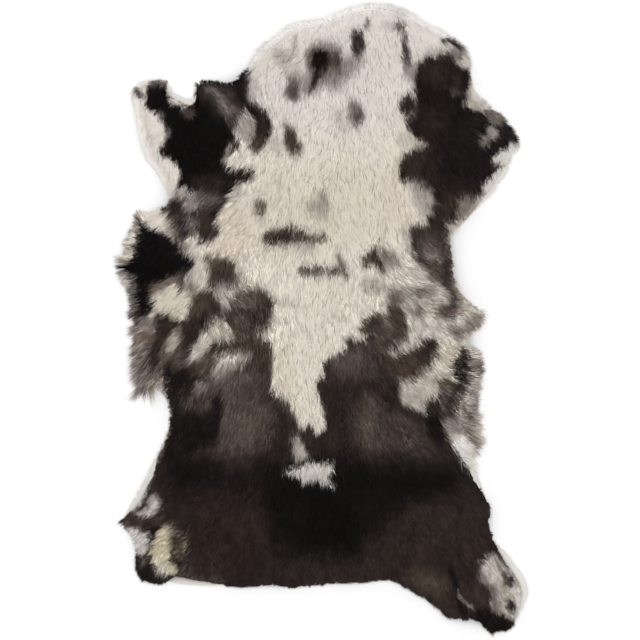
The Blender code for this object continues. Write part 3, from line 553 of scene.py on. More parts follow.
    ("back, crescent", "bark", 1, 6, 0, (101, 125, 94, 120, 85, 112, 76, 104, 67, 93, 72, 82, 86, 82, 96, 78,
        105, 70, 109, 74, 105, 85, 98, 94, 93, 102, 95, 113)),
    ("back, crescent, core", "sable", 0.9, 5, 8, (90, 112, 86, 102, 92, 94, 101, 84, 105, 76)),
    ("back, crescent, tail", "ash", 0.6, 4, 2.5, (98, 122, 104, 130, 110, 139)),
    ("back, brown by the crescent", "smoke", 0.95, 6, 0, (98, 108, 110, 112, 122, 107, 134, 98, 131, 90, 122,
        83, 108, 85, 101, 93, 97, 101)),
    ("back, below the crescent", "ash", 0.6, 14, 0, (70, 62, 98, 64, 108, 54, 104, 42, 84, 40, 68, 48)),
    ("back, grey by the waist", "silver", 0.45, 14, 0, (108, 116, 130, 112, 132, 80, 122, 60, 104, 76)),
    ("back, faint mark", "sand", 0.8, 6, 6, (41, 15, 46, 19, 51, 23)),
    ("back, faint curve", "ash", 0.4, 6, 4, (-10, -16, 0, -12, 10, -2, 24, 2, 36, -2, 48, -2)),
    ("back, faint streak, left", "ash", 0.4, 7, 7, (-74, 24, -60, 22, -40, 20)),
    ("back, faint streak, low left", "ash", 0.5, 6, 5, (-96, -4, -76, -8, -56, -6)),
    # The right waist and flank
    ("right waist", "sable", 0.95, 6, 0, (148, 142, 149, 149, 160, 154, 186, 156, 200, 154, 206, 144, 212, 138,
        213, 126, 216, 118, 219, 104, 221, 92, 223, 78, 222, 64, 225, 46, 230, 30, 231, 12, 222, -2, 208, -6,
        202, 2, 204, 16, 213, 24, 215, 36, 210, 48, 198, 54, 190, 60, 178, 72, 172, 82, 162, 90, 153, 96, 153,
        110, 150, 124, 148, 134)),
    ("right waist, soft side", "ash", 0.5, 8, 0, (134, 148, 142, 150, 146, 130, 152, 106, 144, 104, 138, 124)),
    ("right waist, brown grey", "mauve", 0.7, 14, 0, (166, 124, 178, 134, 194, 128, 206, 108, 202, 92, 184, 90,
        170, 100, 164, 112)),
    ("right waist, fleck", "ash", 0.6, 8, 6, (178, 101, 188, 102, 196, 98)),
    ("right waist, fringe", "silver", 0.25, 4, 5, (217, 146, 220, 110, 224, 76)),
    ("right waist, mauve side", "umber", 0.5, 9, 0, (170, 86, 190, 88, 202, 74, 202, 58, 186, 58, 172, 68)),
    ("right waist, spike", "smoke", 0.8, 3, 3.5, (222, 60, 232, 61, 240, 62)),
    ("right waist, grey hair", "silver", 0.35, 22, 0, (130, 92, 160, 88, 196, 62, 204, 40, 170, 44, 120, 56)),
    ("right side, brown grey band", "mauve", 0.7, 12, 0, (146, 46, 172, 50, 198, 52, 198, 36, 172, 30, 150,
        34)),
    ("right side, mauve", "silver", 0.85, 16, 0, (138, 48, 158, 48, 176, 40, 180, 20, 160, 12, 140, 18)),
    ("right side, brown patch", "smoke", 0.95, 13, 0, (113, 46, 124, 49, 136, 46, 140, 34, 140, 20, 134, 8, 118,
        8, 112, 20, 111, 34)),
    ("right side, dark dot", "smoke", 0.9, 8, 0, (150, 15, 166, 18, 174, 9, 166, 0, 150, 2)),
    ("right side, top dot", "smoke", 0.8, 6, 0, (158, 45, 174, 45, 178, 37, 168, 32, 158, 35)),
    ("right side, cream by the dot", "pearl", 0.5, 6, 7, (132, -4, 139, -14, 144, -26)),
    ("right side, brown dot", "umber", 0.85, 10, 0, (188, 20, 204, 22, 216, 16, 216, 2, 202, -4, 188, 2)),
    ("right side, rim shade", "umber", 0.9, 9, 9, (216, 50, 228, 44, 234, 28, 232, 12, 220, 10)),
    ("right side, soft ground", "silver", 0.5, 22, 0, (142, 14, 170, 6, 200, 2, 230, 6, 236, -20, 200, -34, 168,
        -24, 146, -30)),
    ("right side, warm strokes", "ash", 0.5, 12, 8, (176, 30, 196, 30, 206, 36)),
    ("right side, dark column", "bark", 1, 6, 0, (112, 16, 122, 18, 134, 16, 140, 2, 143, -20, 144, -40, 138,
        -46, 126, -50, 112, -52, 106, -40, 112, -16, 110, 0)),
    ("right side, grey", "smoke", 0.75, 8, 0, (86, 0, 98, 6, 112, 6, 118, -4, 118, -34, 104, -40, 90, -30, 82,
        -16)),
    ("right side, dark patch", "bark", 0.95, 6, 0, (63, -20, 67, -11, 75, -3, 82, 2, 92, 5, 102, 4, 106, -8,
        104, -26, 96, -29, 84, -27, 72, -27)),
    ("right side, dark patch, warm", "umber", 0.6, 8, 0, (66, -18, 76, -8, 84, -14, 78, -24)),
    ("right side, cream streak", "silver", 0.7, 5, 0, (122, -58, 130, -55, 140, -51, 152, -46, 164, -38, 173,
        -30, 172, -22, 156, -30, 147, -38, 138, -45, 128, -50)),
    ("right side, dark brown patch", "bark", 1, 5, 0, (182, -33, 191, -32, 196, -39, 198, -52, 194, -64, 189,
        -76, 183, -88, 176, -96, 166, -102, 158, -107, 148, -108, 134, -106, 126, -100, 112, -96, 100, -92, 98,
        -66, 110, -60, 120, -62, 130, -61, 142, -57, 152, -52, 162, -47, 173, -41)),
    ("right side, patch, dark", "sable", 0.7, 10.8, 0, (170, -40, 186, -34, 192, -44, 190, -60, 176, -80, 158,
        -66)),
    ("right side, big cream", "pearl", 0.9, 5, 0, (134, -112, 142, -110, 152, -111, 162, -109, 172, -101, 180,
        -92, 188, -80, 204, -70, 216, -72, 218, -86, 228, -96, 222, -102, 208, -99, 196, -103, 193, -124, 186,
        -131, 178, -134, 174, -142, 175, -150, 171, -156, 164, -152, 156, -147, 148, -146, 138, -147, 134, -146,
        133, -130)),
    ("right side, big cream, grey end", "silver", 0.5, 13.5, 0, (140, -126, 170, -126, 174, -150, 140, -147)),
    ("right side, cream bit", "cream", 0.95, 6, 0, (200, -40, 212, -39, 226, -43, 236, -52, 234, -64, 228, -76,
        222, -88, 206, -90, 192, -84, 191, -74, 198, -62, 201, -50)),
    ("right side, cream neck", "ivory", 0.85, 5, 0, (186, -84, 204, -76, 222, -74, 227, -90, 206, -96, 190,
        -96)),
    ("right flank, brown grey", "mauve", 0.7, 10, 0, (212, -14, 226, -16, 234, -24, 228, -32, 214, -28)),
    ("right flank, tuft", "mauve", 0.7, 10, 0, (236, 0, 252, 2, 268, 4, 280, 8, 274, -6, 262, -20, 244, -30,
        236, -26, 240, -12)),
    ("right flank, tuft, dark edge", "smoke", 0.6, 8, 7, (266, -12, 254, -20, 242, -24)),
    ("right flank, tuft, pale top", "pearl", 0.7, 14, 0, (226, 60, 236, 50, 250, 36, 266, 24, 272, 12, 252, 8,
        236, 8, 234, 30)),
    ("right flank, grey below the tuft", "smoke", 0.75, 7, 0, (222, -18, 238, -20, 242, -34, 236, -46, 224,
        -38)),
    ("right flank, fan", "mauve", 0.85, 6, 0, (250, -64, 262, -66, 284, -74, 286, -104, 274, -108, 258, -100,
        250, -88)),
    ("right flank, fan, pale", "pearl", 0.8, 6, 0, (246, -48, 262, -50, 274, -62, 262, -66, 250, -62)),
    ("right flank, pale rim", "pearl", 0.8, 6, 0, (256, -106, 272, -110, 276, -132, 272, -160, 260, -158, 258,
        -130)),
    ("right flank, black", "soot", 1, 4.5, 0, (236, -46, 244, -50, 248, -66, 250, -84, 247, -98, 248, -108, 243,
        -114, 238, -118, 234, -128, 226, -128, 222, -118, 228, -108, 226, -100, 219, -94, 216, -84, 218, -73,
        228, -66, 233, -56)),
    ("right flank, olive", "olive", 0.95, 4, 0, (194, -101, 206, -101, 216, -104, 222, -112, 216, -124, 204,
        -124, 194, -116)),
    ("right flank, grey brown", "mauve", 0.75, 5, 0, (195, -116, 208, -118, 206, -132, 194, -132)),
    ("right flank, dark streaks", "sable", 0.95, 5, 0, (222, -110, 240, -112, 242, -122, 236, -134, 232, -148,
        226, -160, 228, -172, 214, -174, 204, -170, 196, -160, 186, -158, 176, -160, 176, -142, 184, -133, 196,
        -132, 202, -126, 212, -124, 216, -116)),
    ("right flank, light arc", "silver", 0.45, 4, 4.5, (213, -118, 210, -130, 204, -140, 201, -154)),
    ("right flank, light hair", "silver", 0.9, 6, 0, (243, -122, 254, -112, 276, -116, 276, -162, 256, -164,
        232, -170, 233, -150)),
    ("right flank, hair strokes", "smoke", 0.5, 4, 4, (252, -138, 262, -137, 274, -139)),
    ("right flank, hair stroke", "smoke", 0.5, 4, 4, (252, -148, 264, -147, 276, -150)),
    ("right flank, last dark locks", "umber", 0.85, 5, 12, (238, -152, 249, -165, 258, -180, 253, -196, 251,
        -212)),
    ("right flank, low lock", "smoke", 0.85, 6, 9, (262, -206, 267, -224, 269, -242)),
    ("right flank, root shade", "mauve", 0.7, 6, 0, (206, -168, 226, -168, 246, -172, 252, -184, 244, -197, 228,
        -198, 221, -208, 210, -192)),
    ("right flank, black column", "coal", 0.8, 10, 0, (176, -164, 198, -164, 203, -180, 208, -204, 202, -224,
        186, -210, 178, -190)),
    # The bare web's own white, raised to snow as painted light against the shade of the strands that hang over
    # the rim.
    ("right flank, bare web, painted light", "snow", 1, 5, 0, (229, -208, 237, -201, 245, -208, 252, -226, 257, -246, 256,
        -256, 246, -256, 232, -236, 228, -220)),
    # The hind feet
    ("left foot, tuft", "silver", 0.95, 4, 0, (-286, -296, -276, -296, -269, -301, -267, -310, -268, -322, -274,
        -328, -284, -331, -298, -332, -305, -328, -297, -322, -287, -317, -288, -306)),
    ("left foot, tuft, light", "white", 0.7, 5, 6, (-302, -329, -288, -327, -278, -320, -274, -308)),
    ("left foot, dark band", "bark", 1, 3.5, 0, (-345, -320, -328, -322, -312, -329, -300, -334, -280, -334,
        -262, -330, -240, -338, -240, -350, -254, -350, -270, -343, -284, -346, -300, -348, -318, -351, -345,
        -345)),
    ("left foot, dark band, black", "sable", 0.6, 6, 0, (-318, -334, -300, -340, -270, -338, -262, -344, -284,
        -354, -312, -348)),
    ("left foot, stripe", "cool", 0.95, 3.5, 0, (-326, -346, -316, -350, -302, -354, -290, -356, -288, -372,
        -290, -386, -293, -399, -300, -402, -310, -394, -314, -386, -322, -368)),
    ("left foot, dark bit", "soot", 0.9, 4, 0, (-291, -352, -270, -350, -264, -360, -268, -374, -279, -381,
        -288, -374)),
    ("left foot, black toe", "soot", 0.9, 4, 0, (-312, -402, -298, -402, -288, -404, -284, -412, -276, -420,
        -268, -427, -256, -433, -248, -446, -290, -450, -316, -432, -320, -410)),
    ("left foot, toe streak", "ash", 0.8, 6, 6, (-300, -394, -297, -402, -296, -412)),
    ("left foot, straw lock", "straw", 1, 4, 0, (-270, -354, -262, -348, -252, -351, -250, -364, -252, -376,
        -249, -390, -250, -402, -245, -412, -236, -421, -243, -428, -254, -428, -266, -422, -278, -412, -284,
        -398, -283, -386, -278, -374)),
    ("left foot, olive shadow", "olive", 0.9, 4, 0, (-249, -372, -241, -368, -233, -372, -228, -382, -227, -392,
        -234, -393, -243, -388, -249, -382)),
    ("left foot, brown between the shadows", "umber", 0.8, 4, 0, (-244, -384, -240, -390, -234, -396, -236,
        -402, -243, -400)),
    ("left foot, second shadow", "soot", 0.95, 4, 0, (-248, -402, -240, -402, -233, -408, -229, -416, -234,
        -420, -241, -415)),
    ("left foot, straw rim", "straw", 0.7, 3, 3.5, (-251, -352, -240, -359, -231, -367, -226, -379, -223,
        -394)),
    ("left foot, second rim", "ash", 0.6, 3, 3, (-242, -390, -234, -398, -229, -408, -226, -418)),
    ("left foot, pale tips", "white", 0.6, 8, 0, (-280, -404, -264, -410, -250, -424, -258, -430, -274, -424)),
    ("hem, pale edge", "mauve", 0.6, 5, 5, (-248, -428, -224, -430, -196, -436, -160, -444)),
    ("right foot, crease", "coal", 0.8, 6, 8, (216, -420, 224, -440, 228, -460, 234, -480, 240, -492)),
    ("right foot, pale streak", "silver", 0.85, 3.5, 4, (229, -460, 236, -470, 246, -480, 255, -487)),
    ("right foot, patch", "pearl", 0.95, 4, 0, (282, -393, 291, -393, 298, -402, 306, -410, 316, -416, 326,
        -420, 340, -424, 352, -450, 350, -480, 338, -500, 322, -504, 312, -500, 304, -494, 296, -492, 288, -488,
        281, -478, 285, -468, 288, -460, 280, -450, 270, -443, 264, -434, 266, -420, 271, -408, 277, -400)),
    ("right foot, patch, light", "white", 0.4, 8, 0, (284, -404, 276, -416, 282, -432, 298, -448, 304, -440,
        294, -418)),
    ("right foot, pale side", "snow", 0.6, 6, 13, (306, -424, 316, -438, 328, -456, 331, -478, 322, -494)),
    ("right foot, patch, shade", "mauve", 0.85, 7, 11, (268, -432, 280, -446, 291, -462, 292, -486)),
    ("right foot, thin line", "mauve", 0.7, 3, 2.5, (291, -405, 296, -413, 300, -421)),
    ("right foot, dark line", "bark", 0.8, 3, 5, (303, -422, 308, -434, 309, -448)),
    ("right foot, dark edge", "smoke", 0.8, 4, 7, (300, -394, 306, -406, 310, -418, 315, -428)),
    ("right foot, spot", "coal", 0.9, 4, 0, (311, -430, 319, -432, 323, -440, 321, -449, 315, -451, 311, -446)),
    ("right foot, low spot", "coal", 0.8, 4, 0, (311, -468, 319, -470, 325, -480, 322, -492, 314, -494, 309,
        -482)),
    ("right foot, toe", "soot", 1, 6.8, 0, (258, -488, 276, -486, 288, -490, 298, -495, 307, -501, 314, -508,
        316, -520, 310, -530, 290, -538, 268, -532, 256, -506)),
)

# Each stretch of the rim is rounded with RIM_STEPS points. The way straight out of it is evened out over
# RIM_EVENING points on each side.
RIM_STEPS = 12
RIM_EVENING = 3

# The lay at a place comes from the places of LAY around it. Those nearer than about LAY_NEAR millimetres count
# alike, and the others count less the further away they are, as LAY_FALL says.
LAY_NEAR = 10.0
LAY_FALL = 1.7

# Edges of the markings wander: by how much, over what distance, both in millimetres, and a seed. The seed for
# the other direction is SIDEWAYS_SEED higher. SOFTENING widens every soft edge, and MIXING is how strongly
# hairs of both tones mix there.
WANDER = ((1.5, 24.0, 11), (2.4, 9.0, 12), (1.4, 4.0, 13))
WANDER_TABLE = 256
SIDEWAYS_SEED = 50
SOFTENING = 1.5
MIXING = 1.4

# Clouding of the coat, random tone that on dark wool also stands in for soft patches of painted sheen: share of
# the brightness, the distance over which it changes, in millimetres, and a seed. It is longer along the back
# than across it. The brightest wool, from BRIGHT on, has only LIGHT_CLOUDS.
CLOUDS = ((0.16, 42.0, 61), (0.13, 13.0, 62))
CLOUD_STRETCH = 0.6
LIGHT_CLOUDS = 0.05
BRIGHT = 0.75

# Grid on which the height of the pile and the way to the rim are kept
FIELD_PITCH = 4.0 * MM
FIELD_HALF = (0.384, 0.568)
RAY_HEIGHT = 1.0

# The map for baking is seen from above. MAP_SHEAR gives upright faces some width in it.
MAP_SHEAR = (0.4, 0.3)
MAP_MARGIN = 0.03

# A sheet's points are moved onto its outline within these shares of a face, inside and outside it. Points
# closer than MERGE_GAP become one, and faces smaller than LEAST_FACE go.
SNAP_INSIDE = 0.3
SNAP_OUTSIDE = 0.8
MERGE_GAP = 0.5 * MM
LEAST_FACE = 0.2 * MM * MM

# The bare edge of the skin curls up where more than a little of it shows, and fully from CURL_FULL on.
# How far it does wanders about RUFFLE_MIDDLE.
LEAST_BARE = 1.0 * MM
CURL_FULL = 4.0 * MM
RUFFLE_MIDDLE = 0.55
RUFFLE_SHARE = 0.45
RUFFLE_SIZE = 26.0 * MM
RUFFLE_SEED = 21
SKIN_SMOOTH = 50
WOOL_SMOOTH = 60

# The undercoat ends UNDERCOAT_INSET millimetres inside the wool and starts UNDERCOAT_GAP above the skin. Its
# side is EDGE_HEIGHT high, and from there it rises over ROLL_WIDTH. Well inside the edge, from DEEP_FROM and
# over DEEP_OVER, it lies less far under the top of the pile, by the share LESS_SINK.
UNDERCOAT_INSET = 0.4
UNDERCOAT_GAP = 0.2 * MM
EDGE_HEIGHT = 0.5 * MM
LEAST_RISE = 0.6 * MM
ROLL_WIDTH = 9.0 * MM
LESS_SINK = 0.4
DEEP_FROM = 8.0 * MM
DEEP_OVER = 14.0 * MM

# Strands stand at least ROOT_INSET inside the wool's edge, and the further ones within EDGE_BAND of it
ROOT_INSET = 0.5 * MM
EDGE_BAND = 9.0 * MM

# Locks stand in a grid, each within LOCK_ROOM of its square. The grid is LOCK_MARGIN squares larger.
LOCK_ROOM = (0.05, 0.95)
LOCK_MARGIN = 8

# Cross sections of a strand: share of its length, share of its width, share of its loft, and brightness
# The brightness is painted shade and light: darkest at the root, which the pile shades, and brightest at the
# tip.
SECTIONS = (
    (0.0, 0.9, -0.45, 0.96),
    (0.5, 1.0, 0.95, 1.0),
    (1.0, 0.0, 0.7, 1.01),
)

# Numbers from -1 to 1 that are drawn for each lock, each wisp in a lock, and each strand
DRAWN = {
    "lock": ("turn", "length", "loft", "gather", "pick", "bright"),
    "wisp": ("turn", "bow", "carry", "grizzle"),
    "strand": ("turn", "length", "loft", "bow", "roll", "carry", "bright", "pick"),
}

# How strands differ from each other: the middle of a value, and what shares of drawn numbers are added
SPREADS = {
    "edge": (0.0, ("wisp turn", 0.6), ("strand loft", 0.4)),
    "turn": (0.0, ("lock turn", 1.0), ("wisp turn", 0.6), ("strand turn", 0.4)),
    "length": (1.0, ("lock length", 0.16), ("strand length", 0.14)),
    "overhang": (0.78, ("lock length", 0.34), ("strand length", 0.25)),
    "loft": (0.7, ("lock loft", 0.12), ("strand loft", 0.2)),
    "gather": (0.85, ("lock gather", 0.15)),
    "bow": (0.0, ("wisp bow", 0.7), ("strand bow", 0.3)),
    "roll": (0.0, ("strand roll", 1.0)),
    "width": (1.0, ("strand loft", 0.25)),
    "pick": (0.5, ("lock pick", 0.25), ("wisp bow", 0.15), ("strand pick", 0.2)),
    "bright": (1.0, ("lock bright", 0.03), ("strand bright", 0.02)),
    "grizzle": (0.0, ("wisp grizzle", 1.7), ("strand bright", 0.4)),
    "tips": (0.5, ("strand pick", 0.5)),
    "carry": (0.0, ("wisp carry", 0.65), ("strand carry", 0.35)),
    # dark is the lock-to-lock tone of dark wool, partly painted sheen
    "dark": (0.0, ("lock bright", 0.16), ("wisp grizzle", 0.1)),
}

# Slow turns of the lay: share, the distance over which it changes, and a seed
DRIFTS = ((1.0, 48.0 * MM, 31), (0.8, 15.0 * MM, 32))

# Strands near the edge turn outwards. They do so within EDGE_TURN of it, or, where LAID_OUT finds that they
# lie that way already, within EDGE_SHARE of their length, and EDGE_SCATTER makes that uneven.
EDGE_TURN = 5.0 * MM
EDGE_SHARE = 0.8
LEAST_EDGE = 4.0 * MM
EDGE_SCATTER = 4.0 * MM
EDGE_PULL = 1.6
LAID_OUT = 0.8

# Wool is long from LONG_FROM on, fully so LONG_OVER later. Long wool strays and gathers more.
LONG_FROM = 18.0 * MM
LONG_OVER = 26.0 * MM
STRAY_SHORT = 0.6
STRAY_LONG = 0.6
GATHER_LONG = 0.6
GATHER_POWER = 1.5

# Strands reach this far over the wool's edge, where skin shows and where wool hangs over it. Each may be
# LEAST_STRAND long, and within FRINGE_DEPTH of an edge that hangs over, strands reach as far as they may.
OVER_BARE = 1.5 * MM
OVER_HANG = 1.0 * MM
LEAST_STRAND = 4.0 * MM
LEAST_OUTWARD = 0.35
FRINGE_DEPTH = 14.0 * MM

# Loft is at least LEAST_LOFT, and falls to RIM_LOFT of it over LOFT_DEPTH towards the edge. Tips stand
# TIP_RISE of the sink higher. Strands stay FLOOR_GAP and up to twice CLEARANCE above the floor, and their
# sides LEAST_HEIGHT.
LEAST_LOFT = 0.8 * MM
RIM_LOFT = 0.45
LOFT_DEPTH = 16.0 * MM
TIP_RISE = 0.35
FLOOR_GAP = 0.5 * MM
CLEARANCE = 0.5 * MM
LEAST_HEIGHT = 0.15 * MM

# Mixed wool is darker by GRIZZLE_DROP on the whole. Wool darker than DARK_BELOW differs more from lock to lock,
# partly in its own tone and partly as painted sheen along the locks. Pale tips have the tone TIP_TONE, from
# TIP_FROM of the length on.
GRIZZLE_DROP = 0.3
DARK_BELOW = 0.12
TIP_TONE = "silver"
TIP_FROM = 0.4

# Bands of the coat along the back, each a piece: name, and its ends along y in millimetres
BANDS = (
    ("wool_neck", 350, 600),
    ("wool_withers", 220, 350),
    ("wool_back", 80, 220),
    ("wool_loin", -60, 80),
    ("wool_croup", -220, -60),
    ("wool_rump", -370, -220),
    ("wool_hem", -600, -370),
)

# The stage: the floor's size, the strength of the light from all around, and the lamps, with name, place,
# size and power. The photo was taken from straight above, so the camera stands high, with a long lens.
FLOOR_SIZE = 14.0
DAYLIGHT = 0.95
LAMPS = (
    ("key", (-1.7, 1.5, 2.6), 2.4, 24.0),
    ("fill", (1.9, -0.6, 2.6), 2.6, 8.0),
)
SENSOR = 36.0
CAMERA_HEIGHT = 10.0
PHOTO_WIDTH = 1.0667
PHOTO_CENTRE = (-0.0008, -0.005)


# Places


def rows(table, columns, *wanted):
    """The wanted columns of a table, one array each."""
    places = [columns.index(name) for name in wanted]
    return np.array([[row[i] for i in places] for row in table], float).T


def smoothstep(value):
    """0 below 0, 1 above 1, and an even slope between."""
    value = np.clip(value, 0.0, 1.0)
    return value * value * (3.0 - 2.0 * value)


def blend(grid, i, j, u, v):
    """Values of a grid that repeats, at the shares u and v of the way from its points i, j to the next."""
    wide, high = grid.shape
    near = grid[i % wide, j % high] * (1 - u) + grid[(i + 1) % wide, j % high] * u
    far = grid[i % wide, (j + 1) % high] * (1 - u) + grid[(i + 1) % wide, (j + 1) % high] * u
    return near * (1 - v) + far * v


def wander(x, y, size, seed):
    """Smooth random values from -1 to 1 that change over the given size."""
    table = np.random.default_rng(seed).uniform(-1.0, 1.0, (WANDER_TABLE, WANDER_TABLE))
    u = x / size + 2.0 * WANDER_TABLE
    v = y / size + 2.0 * WANDER_TABLE
    i = np.floor(u).astype(int)
    j = np.floor(v).astype(int)
    return blend(table, i, j, smoothstep(u - i), smoothstep(v - j))


def line_distance(x, y, points, closed=True):
    """Distance of each place to a line, whether it is inside, and the line's nearest stretch and point."""
    far = np.full(x.shape, np.inf)
    inside = np.zeros(x.shape, bool)
    nearest = np.zeros(x.shape, int)
    near_x = np.zeros(x.shape)
    near_y = np.zeros(x.shape)
    ends = list(points[1:]) + ([points[0]] if closed else [])
    for i, ((ax, ay), (bx, by)) in enumerate(zip(points, ends)):
        dx, dy = bx - ax, by - ay
        along = np.clip(((x - ax) * dx + (y - ay) * dy) / (dx * dx + dy * dy), 0.0, 1.0)
        px = ax + along * dx
        py = ay + along * dy
        gap = (x - px) ** 2 + (y - py) ** 2
        closer = gap < far
        far[closer] = gap[closer]
        nearest[closer] = i
        near_x[closer] = px[closer]
        near_y[closer] = py[closer]
        if closed and ay != by:
            inside ^= ((ay > y) != (by > y)) & (x < ax + (y - ay) * dx / dy)
    return np.sqrt(far), inside, nearest, near_x, near_y


def smooth_rim():
    """The rim as one smooth closed curve: x, y, bare, lock and sweep at each of its points, in metres."""
    corners = rows(RIM, RIM_COLUMNS, "x", "y", "bare", "lock", "sweep").T
    curve = []
    for i in range(len(corners)):
        a, b, c, d = (corners[(i + k) % len(corners)] for k in (-1, 0, 1, 2))
        for step in range(RIM_STEPS):
            t = step / RIM_STEPS
            smooth = 0.5 * (2 * b + (c - a) * t + (2 * a - 5 * b + 4 * c - d) * t**2
                            + (3 * b - a - 3 * c + d) * t**3)
            straight = b + (c - b) * t
            curve.append(np.concatenate((smooth[:2], straight[2:])))
    curve = np.array(curve)
    curve[:, :4] *= MM
    return curve


def outward_of(curve):
    """Unit directions straight out of a clockwise curve, evened out over its neighbours."""
    along = np.roll(curve, -RIM_EVENING, axis=0) - np.roll(curve, RIM_EVENING, axis=0)
    out = np.stack((-along[:, 1], along[:, 0]), axis=1)
    return out / np.linalg.norm(out, axis=1, keepdims=True)


class Pelt:
    """Where the skin and its wool end, how high the pile stands, and how it lies."""

    def __init__(self):
        curve = smooth_rim()
        self.rim = curve[:, :2]
        self.out = outward_of(self.rim)
        self.wool = self.rim - self.out * curve[:, 2:3]
        turn = np.radians(curve[:, 4])
        side = np.where(self.out[:, 0] > 0, -1.0, 1.0) * turn
        sweep_x = self.out[:, 0] * np.cos(side) - self.out[:, 1] * np.sin(side)
        sweep_y = self.out[:, 0] * np.sin(side) + self.out[:, 1] * np.cos(side)
        count_x = int(round(2 * FIELD_HALF[0] / FIELD_PITCH)) + 1
        count_y = int(round(2 * FIELD_HALF[1] / FIELD_PITCH)) + 1
        x, y = np.meshgrid(np.linspace(-FIELD_HALF[0], FIELD_HALF[0], count_x),
                           np.linspace(-FIELD_HALF[1], FIELD_HALF[1], count_y), indexing="ij")
        gap, inside, nearest, _, _ = line_distance(x, y, self.wool)
        self.depth = np.where(inside, gap, -gap)
        self.lock = curve[nearest, 3]
        self.bare = curve[nearest, 2]
        self.sweep_x = sweep_x[nearest]
        self.sweep_y = sweep_y[nearest]
        self.height = self.even(self.cast(x, y))

    @staticmethod
    def cast(x, y):
        """Height of the solid's top over each place."""
        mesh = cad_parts[NODE].data
        tree = BVHTree.FromPolygons([v.co for v in mesh.vertices], [p.vertices for p in mesh.polygons])
        top = np.zeros(x.shape)
        down = Vector((0, 0, -1))
        for place in np.ndindex(x.shape):
            hit = tree.ray_cast(Vector((x[place], y[place], RAY_HEIGHT)), down)[0]
            top[place] = hit.z if hit else 0.0
        return top

    @staticmethod
    def even(grid):
        """The grid with each value evened out over its neighbours."""
        for axis in (0, 1):
            grid = 0.5 * grid + 0.25 * (np.roll(grid, 1, axis) + np.roll(grid, -1, axis))
        return grid

    @staticmethod
    def at(grid, x, y):
        """Values of one of the pelt's grids at each place."""
        u = np.clip((x + FIELD_HALF[0]) / FIELD_PITCH, 0, grid.shape[0] - 1.001)
        v = np.clip((y + FIELD_HALF[1]) / FIELD_PITCH, 0, grid.shape[1] - 1.001)
        i = u.astype(int)
        j = v.astype(int)
        return blend(grid, i, j, u - i, v - j)

    @staticmethod
    def lay(x, y):
        """Direction, length, loft, paleness of tips and mixing of the wool at each place."""
        px, py, heading, length, loft, tips, grizzle = rows(
            LAY, LAY_COLUMNS, "x", "y", "heading", "length", "loft", "tips", "grizzle")
        heading = np.radians(heading)
        total = np.zeros(x.shape)
        sums = np.zeros((6,) + x.shape)
        for i in range(len(px)):
            weight = ((x / MM - px[i]) ** 2 + (y / MM - py[i]) ** 2 + LAY_NEAR**2) ** -LAY_FALL
            total += weight
            values = (math.cos(heading[i]), math.sin(heading[i]), length[i], loft[i], tips[i], grizzle[i])
            for k, value in enumerate(values):
                sums[k] += weight * value
        sums /= total
        return sums[0], sums[1], sums[2] * MM, sums[3] * MM, sums[4], sums[5]


# Colours


def coat(x, y, pick=None):
    """Colour of the coat at each place, from 0 to 1 as seen. pick mixes hairs of both tones at the edges."""
    u = x / MM
    v = y / MM
    for amount, size, seed in WANDER:
        u = u + amount * wander(x / MM, y / MM, size, seed)
        v = v + amount * wander(x / MM, y / MM, size, seed + SIDEWAYS_SEED)
    colour = np.tile(np.array(TONES[BASE_TONE], float), (len(x), 1))
    for _, tone, share, soft, width, numbers in MARKS:
        soft = soft * SOFTENING
        reach = soft + width
        xs, ys = numbers[::2], numbers[1::2]
        near = np.nonzero((u > min(xs) - reach) & (u < max(xs) + reach)
                          & (v > min(ys) - reach) & (v < max(ys) + reach))[0]
        if not len(near):
            continue
        points = list(zip(xs, ys))
        gap, inside, _, _, _ = line_distance(u[near], v[near], points, closed=width == 0)
        depth = np.where(inside, gap, -gap) if width == 0 else width / 2 - gap
        cover = smoothstep(0.5 + depth / soft) * share
        if pick is not None:
            cover = np.clip(cover + MIXING * (pick[near] - 0.5) * cover * (1.0 - cover), 0.0, 1.0)
        colour[near] += (np.array(TONES[tone], float) - colour[near]) * cover[:, None]
    colour /= 255.0
    # Clouding: random tone, and on dark wool painted sheen
    cloud = np.zeros(len(x))
    for amount, size, seed in CLOUDS:
        cloud += amount * wander(x / MM, CLOUD_STRETCH * y / MM, size, seed)
    cloud *= 1.0 + (LIGHT_CLOUDS - 1.0) * smoothstep(colour.mean(axis=1) / BRIGHT)
    return np.clip(colour * (1.0 + cloud[:, None]), 0.0, 1.0)


def to_linear(colour):
    """Light values of colours that are given as seen."""
    return np.where(colour <= 0.04045, colour / 12.92, ((colour + 0.055) / 1.055) ** 2.4)


class Sum:
    """A number in a shader, so that sums with it read like plain Python."""

    def __init__(self, shader, socket):
        self.shader = shader
        self.socket = socket

    def join(self, operation, first, second):
        """The number that two others make together."""
        node = self.shader.node("ShaderNodeMath", {"operation": operation}, {0: first, 1: second})
        return Sum(self.shader, node.outputs[0])

    def __add__(self, other):
        return self.join("ADD", self, other)

    def __radd__(self, other):
        return self.join("ADD", other, self)

    def __mul__(self, other):
        return self.join("MULTIPLY", self, other)

    def __rmul__(self, other):
        return self.join("MULTIPLY", other, self)


